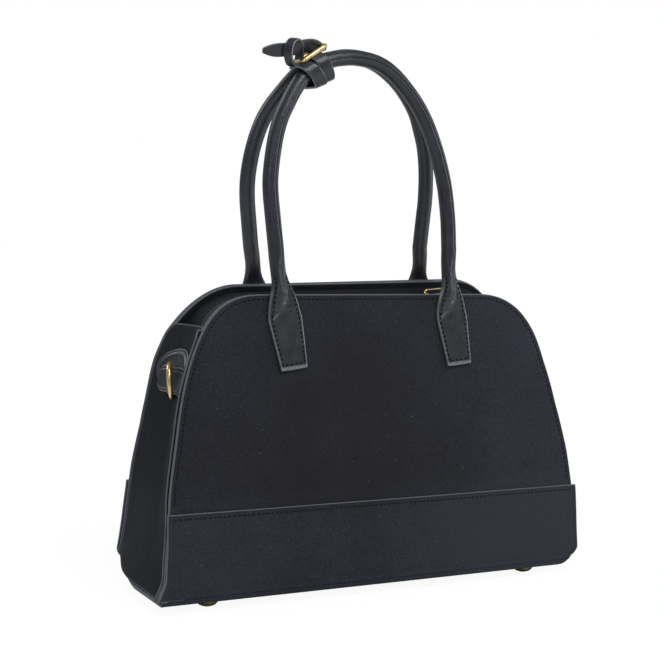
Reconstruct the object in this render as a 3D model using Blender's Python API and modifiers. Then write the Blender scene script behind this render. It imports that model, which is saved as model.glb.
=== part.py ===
"""A structured bowler bag: two leaning panels, a wrapped base on four metal feet, creased side gussets
with rings, a recessed zip and two rolled handles that a small buckled belt ties together.

Units are metres, +Z is up, the front looks along -Y, and the origin is on the floor under the middle.
Run it with blender --background --python part.py, or from Blender's text editor.
"""

import math

import bmesh
import bpy
import numpy as np
from mathutils import Matrix, Vector

# Overall sizes
BASE_DEPTH = 0.108
TOP_DEPTH = 0.038
RIM_HEIGHT = 0.198
FOOT_HEIGHT = 0.006
SEAT_GAP = 0.0003

# Panels: the outline's half widths, and how far up it the shoulder starts
PANEL_THICKNESS = 0.0030
BASE_HALF_WIDTH = 0.1532
SHOULDER_HALF_WIDTH = 0.1315
RIM_HALF_WIDTH = 0.084
SHOULDER_HEIGHT_SHARE = 0.812
# Bezier handles of the side and of the shoulder, as shares of the panel's height
SIDE_LOWER_HANDLE_SHARE = 0.28
SIDE_UPPER_HANDLE_SHARE = 0.23
SHOULDER_LOWER_HANDLE_SHARE = 0.117
SHOULDER_UPPER_HANDLE_SHARE = 0.128
SHOULDER_LEAN_SHARE = 0.45
SIDE_STEPS = 7
SHOULDER_STEPS = 9

# Base and lower bands
BASE_THICKNESS = 0.0022
BASE_FOLD_RADIUS = 0.0038
BASE_FOLD_HEIGHT = 0.0048
BASE_FOLD_STEPS = 5
BASE_END_INSET = 0.0040
BOARD_THICKNESS = 0.0025
BOARD_MARGIN = 0.0022
BAND_THICKNESS = 0.0020
BAND_HEIGHT = 0.0503
BAND_OVERHANG = 0.0015
BAND_CORNER_RADIUS = 0.0100
BAND_CORNER_STEPS = 5

# Gussets: a soft side wall between the panels, with flanges turned out along their edges
SKIN_THICKNESS = 0.0018
EDGE_REVEAL = 0.0004
SIDE_FLANGE_WIDTH = 0.0038
TOP_FLANGE_WIDTH = 0.0050
GUSSET_TOP_HEIGHT_SHARE = 0.860
CREASE_DEPTH = 0.0063
# How deep the crease is, up the gusset: each pair is a share of its height and a share of the depth
CREASE_PROFILE_SHARES = (
    (0.0, 0.0), (0.15, 0.5), (0.35, 0.9), (0.62, 1.0), (0.74, 0.8), (0.84, 0.45), (1.0, 0.12),
)
CREASE_COLUMN_SHARES = (0.0, 0.3, 0.5, 0.7, 1.0)
GUSSET_ROWS = 24
STRIP_CORNER_ROWS = 12

# Zip
ZIP_SLOT_WIDTH = 0.0056
ZIP_WINDOW_WIDTH = 0.0120
ZIP_END_MARGIN = 0.0040
TAPE_THICKNESS = 0.0008
TAPE_WIDTH = 0.0100
TEETH_WIDTH = 0.0013
TEETH_HEIGHT = 0.0022
STOP_LENGTH = 0.0035
STOP_HEIGHT = 0.0034
SLIDER_LENGTH = 0.0115
SLIDER_WIDTH = 0.0100
SLIDER_PLATE = 0.0012
SLIDER_RUN_CLEARANCE = 0.0003
SLIDER_TRAVEL_MARGIN = 0.0010
BRIDGE_LENGTH = 0.0070
BRIDGE_HEIGHT = 0.0052
BRIDGE_WIDTH = 0.0022
BRIDGE_WIRE = 0.0012
PULLER_LENGTH = 0.0215
PULLER_WIDTH = 0.0090
PULLER_WIRE_RADIUS = 0.0007
PULLER_RAISE_DEGREES = 3.0
PULLER_ROLL_DEGREES = 12.0
PULLER_BAR_SHARE = 0.75
PULLER_STEPS = 8

# Feet
FOOT_RADIUS = 0.0062
FOOT_FLAT_RADIUS = 0.0022
FOOT_SHANK_RADIUS = 0.0015
FOOT_HEAD_RADIUS = 0.0036
FOOT_HEAD_HEIGHT = 0.0010
FOOT_END_DISTANCE = 0.0332
FOOT_SIDE_DISTANCE = 0.0155
FOOT_STEPS = 5
ROUND_SEGMENTS = 20
HOLE_SEGMENTS = 12

# Handle tabs, in the panel's plane
TAB_THICKNESS = 0.0023
TAB_LENGTH = 0.0405
TAB_RIM_DISTANCE = 0.0112
TAB_SHOULDER_SHARE = 0.852
TAB_FOOT_HALF_WIDTH = 0.0095
TAB_SHOULDER_HALF_WIDTH = 0.0122
TAB_TOP_HALF_WIDTH = 0.0115
LEFT_TAB_FOOT_X = -0.0640
LEFT_TAB_TOP_X = -0.0690
RIGHT_TAB_FOOT_X = 0.0630
RIGHT_TAB_TOP_X = 0.0590

# Handles: a rolled tube each, on a route in its own leaning plane
HANDLE_RADIUS = 0.0052
HANDLE_TOP_Z = 0.3525
HANDLE_FOOT_Z = 0.2260
HANDLE_HALF_SPAN = 0.0680
HANDLE_CENTRE_X = -0.0090
HANDLE_TOP_Y = 0.0064
HANDLE_FOOT_Y = 0.0178
# Each handle's middle line from its left foot to its right foot, as shares of the half span and the rise
FRONT_ROUTE_SHARES = (
    (-0.951, 0.000), (-0.976, 0.138), (-0.999, 0.283), (-0.993, 0.386), (-0.949, 0.535),
    (-0.890, 0.648), (-0.812, 0.735), (-0.715, 0.824), (-0.610, 0.892), (-0.500, 0.939),
    (-0.382, 0.969), (-0.250, 0.989), (-0.059, 1.000), (0.176, 0.983), (0.376, 0.926),
    (0.591, 0.809), (0.729, 0.697), (0.821, 0.587), (0.894, 0.472), (0.947, 0.357),
    (0.975, 0.252), (0.991, 0.142), (0.996, 0.000),
)
BACK_ROUTE_SHARES = (
    (-0.975, 0.000), (-1.010, 0.120), (-1.042, 0.237), (-1.052, 0.331), (-1.040, 0.425),
    (-1.006, 0.528), (-0.948, 0.630), (-0.872, 0.713), (-0.768, 0.790), (-0.610, 0.892),
    (-0.500, 0.939), (-0.382, 0.969), (-0.250, 0.992), (-0.059, 1.013), (0.176, 1.005),
    (0.391, 0.956), (0.596, 0.871), (0.771, 0.755), (0.860, 0.649), (0.928, 0.542),
    (0.971, 0.405), (0.985, 0.266), (0.979, 0.172), (0.968, 0.000),
)
HANDLE_PIVOT_Z = 0.2050
SWINGING_PIECES = (
    "front_handle", "back_handle", "belt_strap", "belt_keeper", "buckle_frame", "buckle_prong",
)
HANDLE_POINTS = 40
HANDLE_BEVEL_RESOLUTION = 2
NECK_RING_POINTS = 16
# Each neck ring: how far up from the tab's top to the tube's foot, its half width and its half
# thickness as shares from the tab's to the tube's, and how far it has moved from the panel to the route
NECK_RING_SHARES = (
    (0.0, 0.0, 0.0, 0.0), (0.12, 0.16, 0.16, 0.0), (0.24, 0.42, 0.38, 0.0), (0.36, 0.72, 0.62, 0.12),
    (0.50, 0.93, 0.88, 0.45), (0.66, 1.0, 1.0, 0.80), (0.83, 1.0, 1.0, 0.96), (1.0, 1.0, 1.0, 1.0),
)

# Belt around both handles
BELT_WIDTH = 0.0090
BELT_THICKNESS = 0.0018
BELT_X = -0.0380
BELT_TURNS = 2
BELT_PITCH = 0.0095
BELT_STEPS_PER_TURN = 28
BELT_HANDLE_CLEARANCE = 0.0013
BELT_START_TURNS = -1.5
BELT_DROP = 0.0028
BELT_TAIL_STEPS = 20
# The tail's route past the wound part: along the handle, towards the back, and away from the handle
BELT_TAIL_ROUTE = (
    (0.0044, -0.0013, 0.0074),
    (0.0041, -0.0019, 0.0091),
    (0.0036, -0.0023, 0.0112),
    (0.0020, -0.0029, 0.0133),
    (-0.0014, -0.0038, 0.0148),
    (-0.0060, -0.0047, 0.0158),
    (-0.0115, -0.0050, 0.0160),
    (-0.0185, -0.0053, 0.0164),
    (-0.0265, -0.0055, 0.0184),
    (-0.0350, -0.0056, 0.0212),
)
BELT_TAIL_WIDTH_DIRECTION = (0.40, -0.25, 0.88)
BELT_TAIL_TURNING_STEPS = 9
BELT_TIP_SHARE = 0.35
BUCKLE_LENGTH = 0.0235
BUCKLE_DEPTH = 0.0150
BUCKLE_WIRE_RADIUS = 0.0014
BUCKLE_CORNER_RADIUS = 0.0025
BUCKLE_CORNER_STEPS = 3
PRONG_RADIUS = 0.0007
PRONG_OFFSET = 0.0046
KEEPER_WIDTH = 0.0080
KEEPER_THICKNESS = 0.0018
KEEPER_TAIL_STEP = 12
KEEPER_CORNER_STEPS = 4

# Side patches, ring straps and rings
PATCH_HALF_WIDTH = 0.0205
PATCH_HALF_HEIGHT = 0.0145
PATCH_THICKNESS = 0.0016
PATCH_HEIGHT_SHARE = 0.7245
PATCH_RINGS = 4
PATCH_SEGMENTS = 32
RING_WIRE_RADIUS = 0.0012
RING_HEIGHT = 0.0250
RING_DEPTH = 0.0145
RING_Y = -0.0020
RING_BAR_CLEARANCE = 0.0004
RING_BAR_SHARES = (0.5, 0.0, -0.5)
RING_REST_DEGREES = 64.0
RING_ARC_STEPS = 10
STRAP_HEIGHT_SHARE = 0.696
STRAP_HEIGHT = 0.0172
STRAP_THICKNESS = 0.0018
STRAP_FRONT_REACH = 0.0218
STRAP_BACK_REACH = 0.0218
STRAP_HUMP_HALF_WIDTH = 0.0058
STRAP_COLUMNS = 25
STRAP_ROWS = 3

# Colours, and how rough each finish is
SUEDE_BLACK = (0.030, 0.031, 0.034)
LEATHER_BLACK = (0.020, 0.020, 0.022)
BOARD_GREY = (0.12, 0.11, 0.10)
TAPE_BLACK = (0.012, 0.012, 0.013)
PALE_GOLD = (0.83, 0.66, 0.36)
SUEDE_ROUGHNESS = 0.85
LEATHER_ROUGHNESS = 0.38
GOLD_ROUGHNESS = 0.22
# Each finish: its colour, its roughness and how metallic it is
SUEDE = (SUEDE_BLACK, SUEDE_ROUGHNESS, 0.0)
LEATHER = (LEATHER_BLACK, LEATHER_ROUGHNESS, 0.0)
BOARD = (BOARD_GREY, SUEDE_ROUGHNESS, 0.0)
TAPE = (TAPE_BLACK, SUEDE_ROUGHNESS, 0.0)
GOLD = (PALE_GOLD, GOLD_ROUGHNESS, 1.0)

# How finely curves and shapes are worked out
ROUTE_SUBSTEPS = 16
SHARP_ANGLE_DEGREES = 40.0
MERGE_DISTANCE = 0.00001
BORE_DEPTH_SHARE = 3.0
NECK_SQUARENESS = 4.0

# Places worked out from the sizes above
RISE = RIM_HEIGHT - FOOT_HEIGHT
LEAN = math.atan2((BASE_DEPTH - TOP_DEPTH) / 2, RISE)
SLANT = RISE / math.cos(LEAN)
ZIP_HALF_LENGTH = RIM_HALF_WIDTH - ZIP_END_MARGIN
FOOT_X = BASE_HALF_WIDTH - FOOT_END_DISTANCE
FOOT_Y = BASE_DEPTH / 2 - FOOT_SIDE_DISTANCE
TAB_TOP_HEIGHT = SLANT - TAB_RIM_DISTANCE
TAB_FOOT_HEIGHT = TAB_TOP_HEIGHT - TAB_LENGTH
TAB_SHOULDER_HEIGHT = TAB_FOOT_HEIGHT + TAB_SHOULDER_SHARE * TAB_LENGTH
FRONT = -1
BACK = 1
LEFT = -1
RIGHT = 1


def clear_scene():
    """Remove every object that the scene starts with."""
    for obj in list(bpy.data.objects):
        bpy.data.objects.remove(obj, do_unlink=True)


def bag_collection():
    """The collection that the bag's pieces go in."""
    collection = bpy.data.collections.new("bowler_bag")
    bpy.context.scene.collection.children.link(collection)
    return collection


def make_material(name, finish):
    """A Principled material of this finish, for one piece."""
    colour, roughness, metallic = finish
    material = bpy.data.materials.new(name)
    material.use_nodes = True
    shader = material.node_tree.nodes["Principled BSDF"]
    shader.inputs["Base Color"].default_value = (*colour, 1.0)
    shader.inputs["Roughness"].default_value = roughness
    shader.inputs["Metallic"].default_value = metallic
    material.diffuse_color = (*colour, 1.0)
    return material


def place(name, data, finish, matrix=None):
    """Add an object of this mesh or curve to the bag's collection, with its own material."""
    obj = bpy.data.objects.new(name, data)
    data.materials.append(make_material(f"{name}_finish", finish))
    BAG.objects.link(obj)
    if matrix is not None:
        obj.matrix_world = matrix
    return obj


def panel_matrix(side):
    """The frame of a panel's outer face: X along the bag, Y up the slope and Z out of the bag."""
    turn = Matrix.Rotation(math.pi if side == BACK else 0.0, 4, "Z")
    origin = Matrix.Translation((0.0, -BASE_DEPTH / 2, FOOT_HEIGHT))
    tip = Matrix.Rotation(math.pi / 2 - LEAN, 4, "X")
    return turn @ origin @ tip


def outer_face_y(z, side):
    """The Y of a panel's outer face at this height."""
    return side * (BASE_DEPTH / 2 - (z - FOOT_HEIGHT) * math.tan(LEAN))


def bezier(points, steps):
    """Points on a cubic Bezier, from its start to its end."""
    t = np.linspace(0.0, 1.0, steps + 1)[:, None]
    a, b, c, d = (np.array(p) for p in points)
    return (1 - t) ** 3 * a + 3 * (1 - t) ** 2 * t * b + 3 * (1 - t) * t**2 * c + t**3 * d


def half_outline():
    """The panel's right edge, from the base up to where the straight rim starts."""
    shoulder = np.array((SHOULDER_HALF_WIDTH, SHOULDER_HEIGHT_SHARE * SLANT))
    along = np.array((-SHOULDER_LEAN_SHARE, 1.0)) / math.hypot(SHOULDER_LEAN_SHARE, 1.0)
    foot = np.array((BASE_HALF_WIDTH, 0.0))
    rim = np.array((RIM_HALF_WIDTH, SLANT))
    side = bezier(
        (
            foot,
            foot + np.array((0.0, SIDE_LOWER_HANDLE_SHARE * SLANT)),
            shoulder - along * SIDE_UPPER_HANDLE_SHARE * SLANT,
            shoulder,
        ),
        SIDE_STEPS,
    )
    corner = bezier(
        (
            shoulder,
            shoulder + along * SHOULDER_LOWER_HANDLE_SHARE * SLANT,
            rim + np.array((SHOULDER_UPPER_HANDLE_SHARE * SLANT, 0.0)),
            rim,
        ),
        SHOULDER_STEPS,
    )
    return np.vstack((side, corner[1:]))


def outline_at(height):
    """The half width of the panel at this distance up its slope, below the rim's own corner."""
    edge = half_outline()
    return float(np.interp(height, edge[:, 1], edge[:, 0]))


def inset(points, amounts):
    """An open outline that turns left moved inwards, by one amount or by one for each point."""
    ahead = np.gradient(points, axis=0)
    ahead /= np.linalg.norm(ahead, axis=1)[:, None]
    inward = np.column_stack((-ahead[:, 1], ahead[:, 0]))
    return points + inward * np.broadcast_to(amounts, len(points))[:, None]


def flat_curve(name, loops, thickness, finish, matrix):
    """A flat plate from closed outlines, the later ones being holes. Its top face is at local Z = 0."""
    curve = bpy.data.curves.new(name, "CURVE")
    curve.dimensions = "2D"
    curve.fill_mode = "BOTH"
    curve.extrude = thickness / 2
    for loop in loops:
        spline = curve.splines.new("POLY")
        spline.points.add(len(loop) - 1)
        for point, (x, y) in zip(spline.points, loop):
            point.co = (x, y, 0.0, 1.0)
        spline.use_cyclic_u = True
    return place(name, curve, finish, matrix @ Matrix.Translation((0.0, 0.0, -thickness / 2)))


def tube(name, points, radius, finish, cyclic=False, resolution=2, matrix=None):
    """A round tube along a list of points, closed on itself or with filled caps."""
    curve = bpy.data.curves.new(name, "CURVE")
    curve.dimensions = "3D"
    curve.bevel_depth = radius
    curve.bevel_resolution = resolution
    curve.use_fill_caps = not cyclic
    spline = curve.splines.new("POLY")
    spline.points.add(len(points) - 1)
    for point, place_of in zip(spline.points, points):
        point.co = (*place_of, 1.0)
    spline.use_cyclic_u = cyclic
    spline.use_smooth = True
    return place(name, curve, finish, matrix)


def solidify(obj, thickness, offset=-1.0):
    """Give an open sheet its thickness, on one side of the surface that was modelled."""
    solid = obj.modifiers.new("Solidify", "SOLIDIFY")
    solid.thickness = thickness
    solid.offset = offset
    solid.use_even_offset = True


def shell(name, rows, thickness, finish):
    """A sheet over a grid of points, thickened on the side that its rows and columns turn away from."""
    mesh = bpy.data.meshes.new(name)
    bm = bmesh.new()
    grid = [[bm.verts.new(point) for point in row] for row in rows]
    for lower, upper in zip(grid, grid[1:]):
        for a, b, c, d in zip(lower, lower[1:], upper[1:], upper):
            bm.faces.new((a, b, c, d))
    bm.to_mesh(mesh)
    bm.free()
    obj = place(name, mesh, finish)
    solidify(obj, thickness)
    return obj


def disc_shell(name, centre, rings, thickness, finish):
    """A round sheet: a centre and rings of points round it, thickened like a shell."""
    mesh = bpy.data.meshes.new(name)
    bm = bmesh.new()
    middle = bm.verts.new(centre)
    loops = [[bm.verts.new(point) for point in ring] for ring in rings]
    count = len(loops[0])
    for i in range(count):
        bm.faces.new((middle, loops[0][i], loops[0][(i + 1) % count]))
    for inner, outer in zip(loops, loops[1:]):
        for i in range(count):
            j = (i + 1) % count
            bm.faces.new((inner[i], outer[i], outer[j], inner[j]))
    bm.to_mesh(mesh)
    bm.free()
    obj = place(name, mesh, finish)
    solidify(obj, thickness)
    return obj


def loft(name, rings, finish, matrix=None, endless=False):
    """A closed solid through rings of points, for sections that change along the way."""
    mesh = bpy.data.meshes.new(name)
    bm = bmesh.new()
    loops = [[bm.verts.new(point) for point in ring] for ring in rings]
    ahead = loops[1:] + loops[:1] if endless else loops[1:]
    for lower, upper in zip(loops, ahead):
        for i in range(len(lower)):
            j = (i + 1) % len(lower)
            bm.faces.new((lower[i], lower[j], upper[j], upper[i]))
    if not endless:
        bm.faces.new(loops[0][::-1])
        bm.faces.new(loops[-1])
    bmesh.ops.recalc_face_normals(bm, faces=bm.faces)
    bm.to_mesh(mesh)
    bm.free()
    mesh.shade_smooth()
    mesh.set_sharp_from_angle(angle=math.radians(SHARP_ANGLE_DEGREES))
    return place(name, mesh, finish, matrix)


def box(name, size, centre, finish):
    """A box, made from a cube primitive."""
    mesh = bpy.data.meshes.new(name)
    bm = bmesh.new()
    bmesh.ops.create_cube(bm, size=1.0)
    bmesh.ops.scale(bm, vec=size, verts=bm.verts)
    bm.to_mesh(mesh)
    bm.free()
    return place(name, mesh, finish, Matrix.Translation(centre))


def turned(name, profile, centre, finish):
    """A solid of revolution: its profile runs down the outer side, from the top of the axis to the bottom."""
    mesh = bpy.data.meshes.new(name)
    bm = bmesh.new()
    verts = [bm.verts.new((r, 0.0, z)) for r, z in profile]
    for a, b in zip(verts, verts[1:]):
        bm.edges.new((a, b))
    bm.to_mesh(mesh)
    bm.free()
    obj = place(name, mesh, finish, Matrix.Translation(centre))
    screw = obj.modifiers.new("Screw", "SCREW")
    screw.steps = ROUND_SEGMENTS
    screw.render_steps = ROUND_SEGMENTS
    screw.use_merge_vertices = True
    screw.merge_threshold = MERGE_DISTANCE
    screw.use_smooth_shade = True
    return obj


def circle(centre_x, centre_y, radius, segments):
    """A closed round outline."""
    angles = np.arange(segments) * 2 * math.pi / segments
    return [(centre_x + radius * math.cos(a), centre_y + radius * math.sin(a)) for a in angles]


def smooth_route(points, count):
    """Evenly spread points on a smooth curve through a route's own points."""
    points = np.array(points)
    padded = np.vstack((2 * points[0] - points[1], points, 2 * points[-1] - points[-2]))
    fine = []
    for a, b, c, d in zip(padded, padded[1:], padded[2:], padded[3:]):
        for t in np.linspace(0.0, 1.0, ROUTE_SUBSTEPS, endpoint=False):
            fine.append(
                0.5 * (2 * b + (c - a) * t + (2 * a - 5 * b + 4 * c - d) * t**2
                       + (3 * b - a - 3 * c + d) * t**3)
            )
    fine.append(points[-1])
    fine = np.array(fine)
    run = np.concatenate(([0.0], np.cumsum(np.linalg.norm(np.diff(fine, axis=0), axis=1))))
    even = np.linspace(0.0, run[-1], count)
    return np.column_stack([np.interp(even, run, fine[:, axis]) for axis in range(fine.shape[1])])


def make_panels():
    """The front and back panels, each one flat leaning sheet that stands on the base."""
    foot = (BASE_THICKNESS + SEAT_GAP) / math.cos(LEAN) + PANEL_THICKNESS * math.tan(LEAN)
    right = half_outline()
    right[0] = (outline_at(foot), foot)
    left = right[::-1] * np.array((-1.0, 1.0))
    outline = np.vstack((right, left))
    for name, side in (("front_panel", FRONT), ("back_panel", BACK)):
        flat_curve(name, [outline], PANEL_THICKNESS, SUEDE, panel_matrix(side))


def rounded_foot(half_width, foot, radius):
    """The lower right corner of a band: points round it from its foot to its side."""
    angles = np.linspace(-math.pi / 2, 0.0, BAND_CORNER_STEPS + 1)
    centre = np.array((half_width - radius, foot + radius))
    return centre + radius * np.column_stack((np.cos(angles), np.sin(angles)))


def make_bands():
    """The lower band on each panel, which stands out past the panel's ends."""
    foot = (BASE_FOLD_HEIGHT + SEAT_GAP) / math.cos(LEAN)
    top = foot + BAND_HEIGHT
    lift = SEAT_GAP + BAND_THICKNESS
    corner = rounded_foot(outline_at(foot) + BAND_OVERHANG, foot, BAND_CORNER_RADIUS)
    right = np.vstack((corner, (outline_at(top) + BAND_OVERHANG, top)))
    left = right[::-1] * np.array((-1.0, 1.0))
    for name, side in (("front_lower_band", FRONT), ("back_lower_band", BACK)):
        matrix = panel_matrix(side) @ Matrix.Translation((0.0, 0.0, lift))
        flat_curve(name, [np.vstack((right, left))], BAND_THICKNESS, SUEDE, matrix)


def foot_places():
    """Where the four feet are, with a name for each."""
    return [
        (f"{end}_{'left' if x < 0 else 'right'}_foot", x, y)
        for end, y in (("front", -FOOT_Y), ("back", FOOT_Y))
        for x in (-FOOT_X, FOOT_X)
    ]


def base_half_depth():
    """Half the depth of the base over its folded edges."""
    return BASE_DEPTH / 2 + SEAT_GAP + BAND_THICKNESS


def make_base():
    """The base: a floor with holes for the feet and edges folded up to meet the bands."""
    half = base_half_depth()
    angles = np.linspace(-math.pi / 2, 0.0, BASE_FOLD_STEPS + 1)
    inner_radius = BASE_FOLD_RADIUS - BASE_THICKNESS
    centre = np.array((half - BASE_FOLD_RADIUS, BASE_FOLD_RADIUS))
    unit = np.column_stack((np.cos(angles), np.sin(angles)))
    outer = centre + BASE_FOLD_RADIUS * unit
    inner = centre + inner_radius * unit
    tip = [(half, BASE_FOLD_HEIGHT), (half - BASE_THICKNESS, BASE_FOLD_HEIGHT)]
    right = np.vstack((outer, tip, inner[::-1]))
    left = right[::-1] * np.array((-1.0, 1.0))
    profile = np.vstack((right, left))
    half_length = outline_at(0.0) + BAND_OVERHANG - BASE_END_INSET
    mesh = bpy.data.meshes.new("base_panel")
    bm = bmesh.new()
    ends = [[bm.verts.new((x, y, z + FOOT_HEIGHT)) for y, z in profile] for x in (-half_length, half_length)]
    for i in range(len(profile)):
        j = (i + 1) % len(profile)
        bm.faces.new((ends[0][i], ends[0][j], ends[1][j], ends[1][i]))
    bm.faces.new(ends[0][::-1])
    bm.faces.new(ends[1])
    bmesh.ops.recalc_face_normals(bm, faces=bm.faces)
    bm.to_mesh(mesh)
    bm.free()
    base = place("base_panel", mesh, SUEDE)
    bore = bpy.data.meshes.new("foot_bores")
    bm = bmesh.new()
    for _, x, y in foot_places():
        depth = BASE_THICKNESS * BORE_DEPTH_SHARE
        bmesh.ops.create_cone(
            bm, cap_ends=True, segments=HOLE_SEGMENTS, radius1=FOOT_SHANK_RADIUS + SEAT_GAP,
            radius2=FOOT_SHANK_RADIUS + SEAT_GAP, depth=depth,
            matrix=Matrix.Translation((x, y, FOOT_HEIGHT + BASE_THICKNESS / 2)),
        )
    bm.to_mesh(bore)
    bm.free()
    cutter = bpy.data.objects.new("foot_bores", bore)
    CUTTERS.objects.link(cutter)
    cutter.hide_render = True
    cutter.display_type = "WIRE"
    cut = base.modifiers.new("Foot bores", "BOOLEAN")
    cut.operation = "DIFFERENCE"
    cut.object = cutter


def make_board():
    """The stiff board that lies on the base inside the bag."""
    floor = FOOT_HEIGHT + BASE_THICKNESS + SEAT_GAP
    top = floor + BOARD_THICKNESS
    half_y = abs(outer_face_y(top, BACK)) - PANEL_THICKNESS / math.cos(LEAN) - BOARD_MARGIN
    half_x = outline_at(0.0) - SIDE_FLANGE_WIDTH - SKIN_THICKNESS - BOARD_MARGIN
    outline = [(half_x, -half_y), (half_x, half_y), (-half_x, half_y), (-half_x, -half_y)]
    holes = [circle(x, y, FOOT_SHANK_RADIUS + SEAT_GAP, HOLE_SEGMENTS) for _, x, y in foot_places()]
    flat_curve("base_board", [outline, *holes], BOARD_THICKNESS, BOARD, Matrix.Translation((0.0, 0.0, top)))


def make_feet():
    """Four domed feet, each with a shank through the base and board and a head that clamps them."""
    dome_top = FOOT_HEIGHT - SEAT_GAP
    head = FOOT_HEIGHT + BASE_THICKNESS + BOARD_THICKNESS + 2 * SEAT_GAP
    top = head + FOOT_HEAD_HEIGHT
    angles = np.linspace(math.pi / 2, 0.0, FOOT_STEPS + 1)
    dome = [
        (FOOT_FLAT_RADIUS + (FOOT_RADIUS - FOOT_FLAT_RADIUS) * math.sin(a), dome_top * (1 - math.cos(a)))
        for a in angles
    ]
    dome[0] = (FOOT_RADIUS, dome_top)
    profile = [
        (0.0, top), (FOOT_HEAD_RADIUS, top), (FOOT_HEAD_RADIUS, head),
        (FOOT_SHANK_RADIUS, head), (FOOT_SHANK_RADIUS, dome_top), *dome, (0.0, 0.0),
    ]
    for name, x, y in foot_places():
        turned(name, profile, (x, y, 0.0), GOLD)


def crease_depth(height):
    """How far the gusset's middle is drawn in at this distance up the slope."""
    share = height / (GUSSET_TOP_HEIGHT_SHARE * SLANT)
    heights, depths = zip(*CREASE_PROFILE_SHARES)
    return CREASE_DEPTH * float(np.interp(share, heights, depths))


def seat_y(height):
    """The Y, back of the middle, of the face that lies on a panel's inner face at this slope height."""
    inward = PANEL_THICKNESS + SEAT_GAP
    return BASE_DEPTH / 2 - height * math.sin(LEAN) - inward * math.cos(LEAN)


def seat_z(height):
    """The height of the same face above the floor."""
    return FOOT_HEIGHT + height * math.cos(LEAN) - (PANEL_THICKNESS + SEAT_GAP) * math.sin(LEAN)


def gusset_foot():
    """How far up the slope the side gussets start, just above the base."""
    lift = (BASE_THICKNESS + 2 * SEAT_GAP) / math.cos(LEAN)
    return lift + (PANEL_THICKNESS + SEAT_GAP) * math.tan(LEAN)


def inset_edge(amount):
    """The panel's right edge moved inwards, from the base to the corner of the rim."""
    return inset(half_outline(), amount)


def inset_x(height, amount):
    """The half width of the inset edge at this distance up the slope."""
    edge = inset_edge(amount)
    return float(np.interp(height, edge[:, 1], edge[:, 0]))


def part_of_edge(amount, low, high, count):
    """Evenly spread points of the inset edge between two heights up the slope, both ends included."""
    edge = inset_edge(amount)
    between = edge[(edge[:, 1] > low) & (edge[:, 1] < high)]
    top = edge[-1] if high >= edge[-1, 1] else (inset_x(high, amount), high)
    path = np.vstack(((inset_x(low, amount), low), between, top))
    run = np.concatenate(([0.0], np.cumsum(np.linalg.norm(np.diff(path, axis=0), axis=1))))
    even = np.linspace(0.0, run[-1], count)
    return np.column_stack([np.interp(even, run, path[:, axis]) for axis in (0, 1)])


def make_gussets():
    """The side gussets: flanges along both panels and a wall with a crease drawn in between them."""
    heights = np.linspace(gusset_foot(), GUSSET_TOP_HEIGHT_SHARE * SLANT, GUSSET_ROWS)
    for name, hand in (("left_gusset", LEFT), ("right_gusset", RIGHT)):
        rows = []
        for height in heights:
            x_out = inset_x(height, EDGE_REVEAL)
            x_in = inset_x(height, SIDE_FLANGE_WIDTH + SKIN_THICKNESS)
            y, z = seat_y(height), seat_z(height)
            wall = [
                (hand * (x_in - crease_depth(height) * (1 - abs(2 * share - 1))), y * (2 * share - 1), z)
                for share in CREASE_COLUMN_SHARES
            ]
            rows.append([(hand * x_out, -y, z), *wall, (hand * x_out, y, z)])
        shell(name, rows if hand == LEFT else rows[::-1], SKIN_THICKNESS, SUEDE)


def make_zip_strips():
    """The recessed strips at the top, one on each panel, from gusset to gusset over the rim."""
    start = GUSSET_TOP_HEIGHT_SHARE * SLANT + SKIN_THICKNESS
    flange = TOP_FLANGE_WIDTH + SKIN_THICKNESS
    outer = part_of_edge(EDGE_REVEAL, start, SLANT, STRIP_CORNER_ROWS)
    inner = part_of_edge(flange, start, SLANT, STRIP_CORNER_ROWS)
    outer = np.vstack((outer, (ZIP_HALF_LENGTH, outer[-1, 1])))
    inner = np.vstack((inner, (ZIP_HALF_LENGTH, inner[-1, 1])))
    reaches = np.full(len(outer), SEAT_GAP / 2)
    reaches[-1] = ZIP_WINDOW_WIDTH / 2
    flip = np.array((-1.0, 1.0))
    outer = np.vstack((outer, outer[::-1] * flip))
    inner = np.vstack((inner, inner[::-1] * flip))
    reaches = np.concatenate((reaches, reaches[::-1]))
    for name, side in (("front_zip_strip", FRONT), ("back_zip_strip", BACK)):
        rows = []
        for (x_out, high), (x_in, low), reach in zip(outer, inner, reaches):
            rows.append([
                (x_out, side * seat_y(high), seat_z(high)),
                (x_in, side * seat_y(low), seat_z(low)),
                (x_in, side * reach, seat_z(low)),
            ])
        shell(name, rows if side == BACK else rows[::-1], SKIN_THICKNESS, SUEDE)


def strip_floor():
    """The height of the underside of the zip strips along the straight rim."""
    return seat_z(SLANT - TOP_FLANGE_WIDTH - SKIN_THICKNESS)


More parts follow.
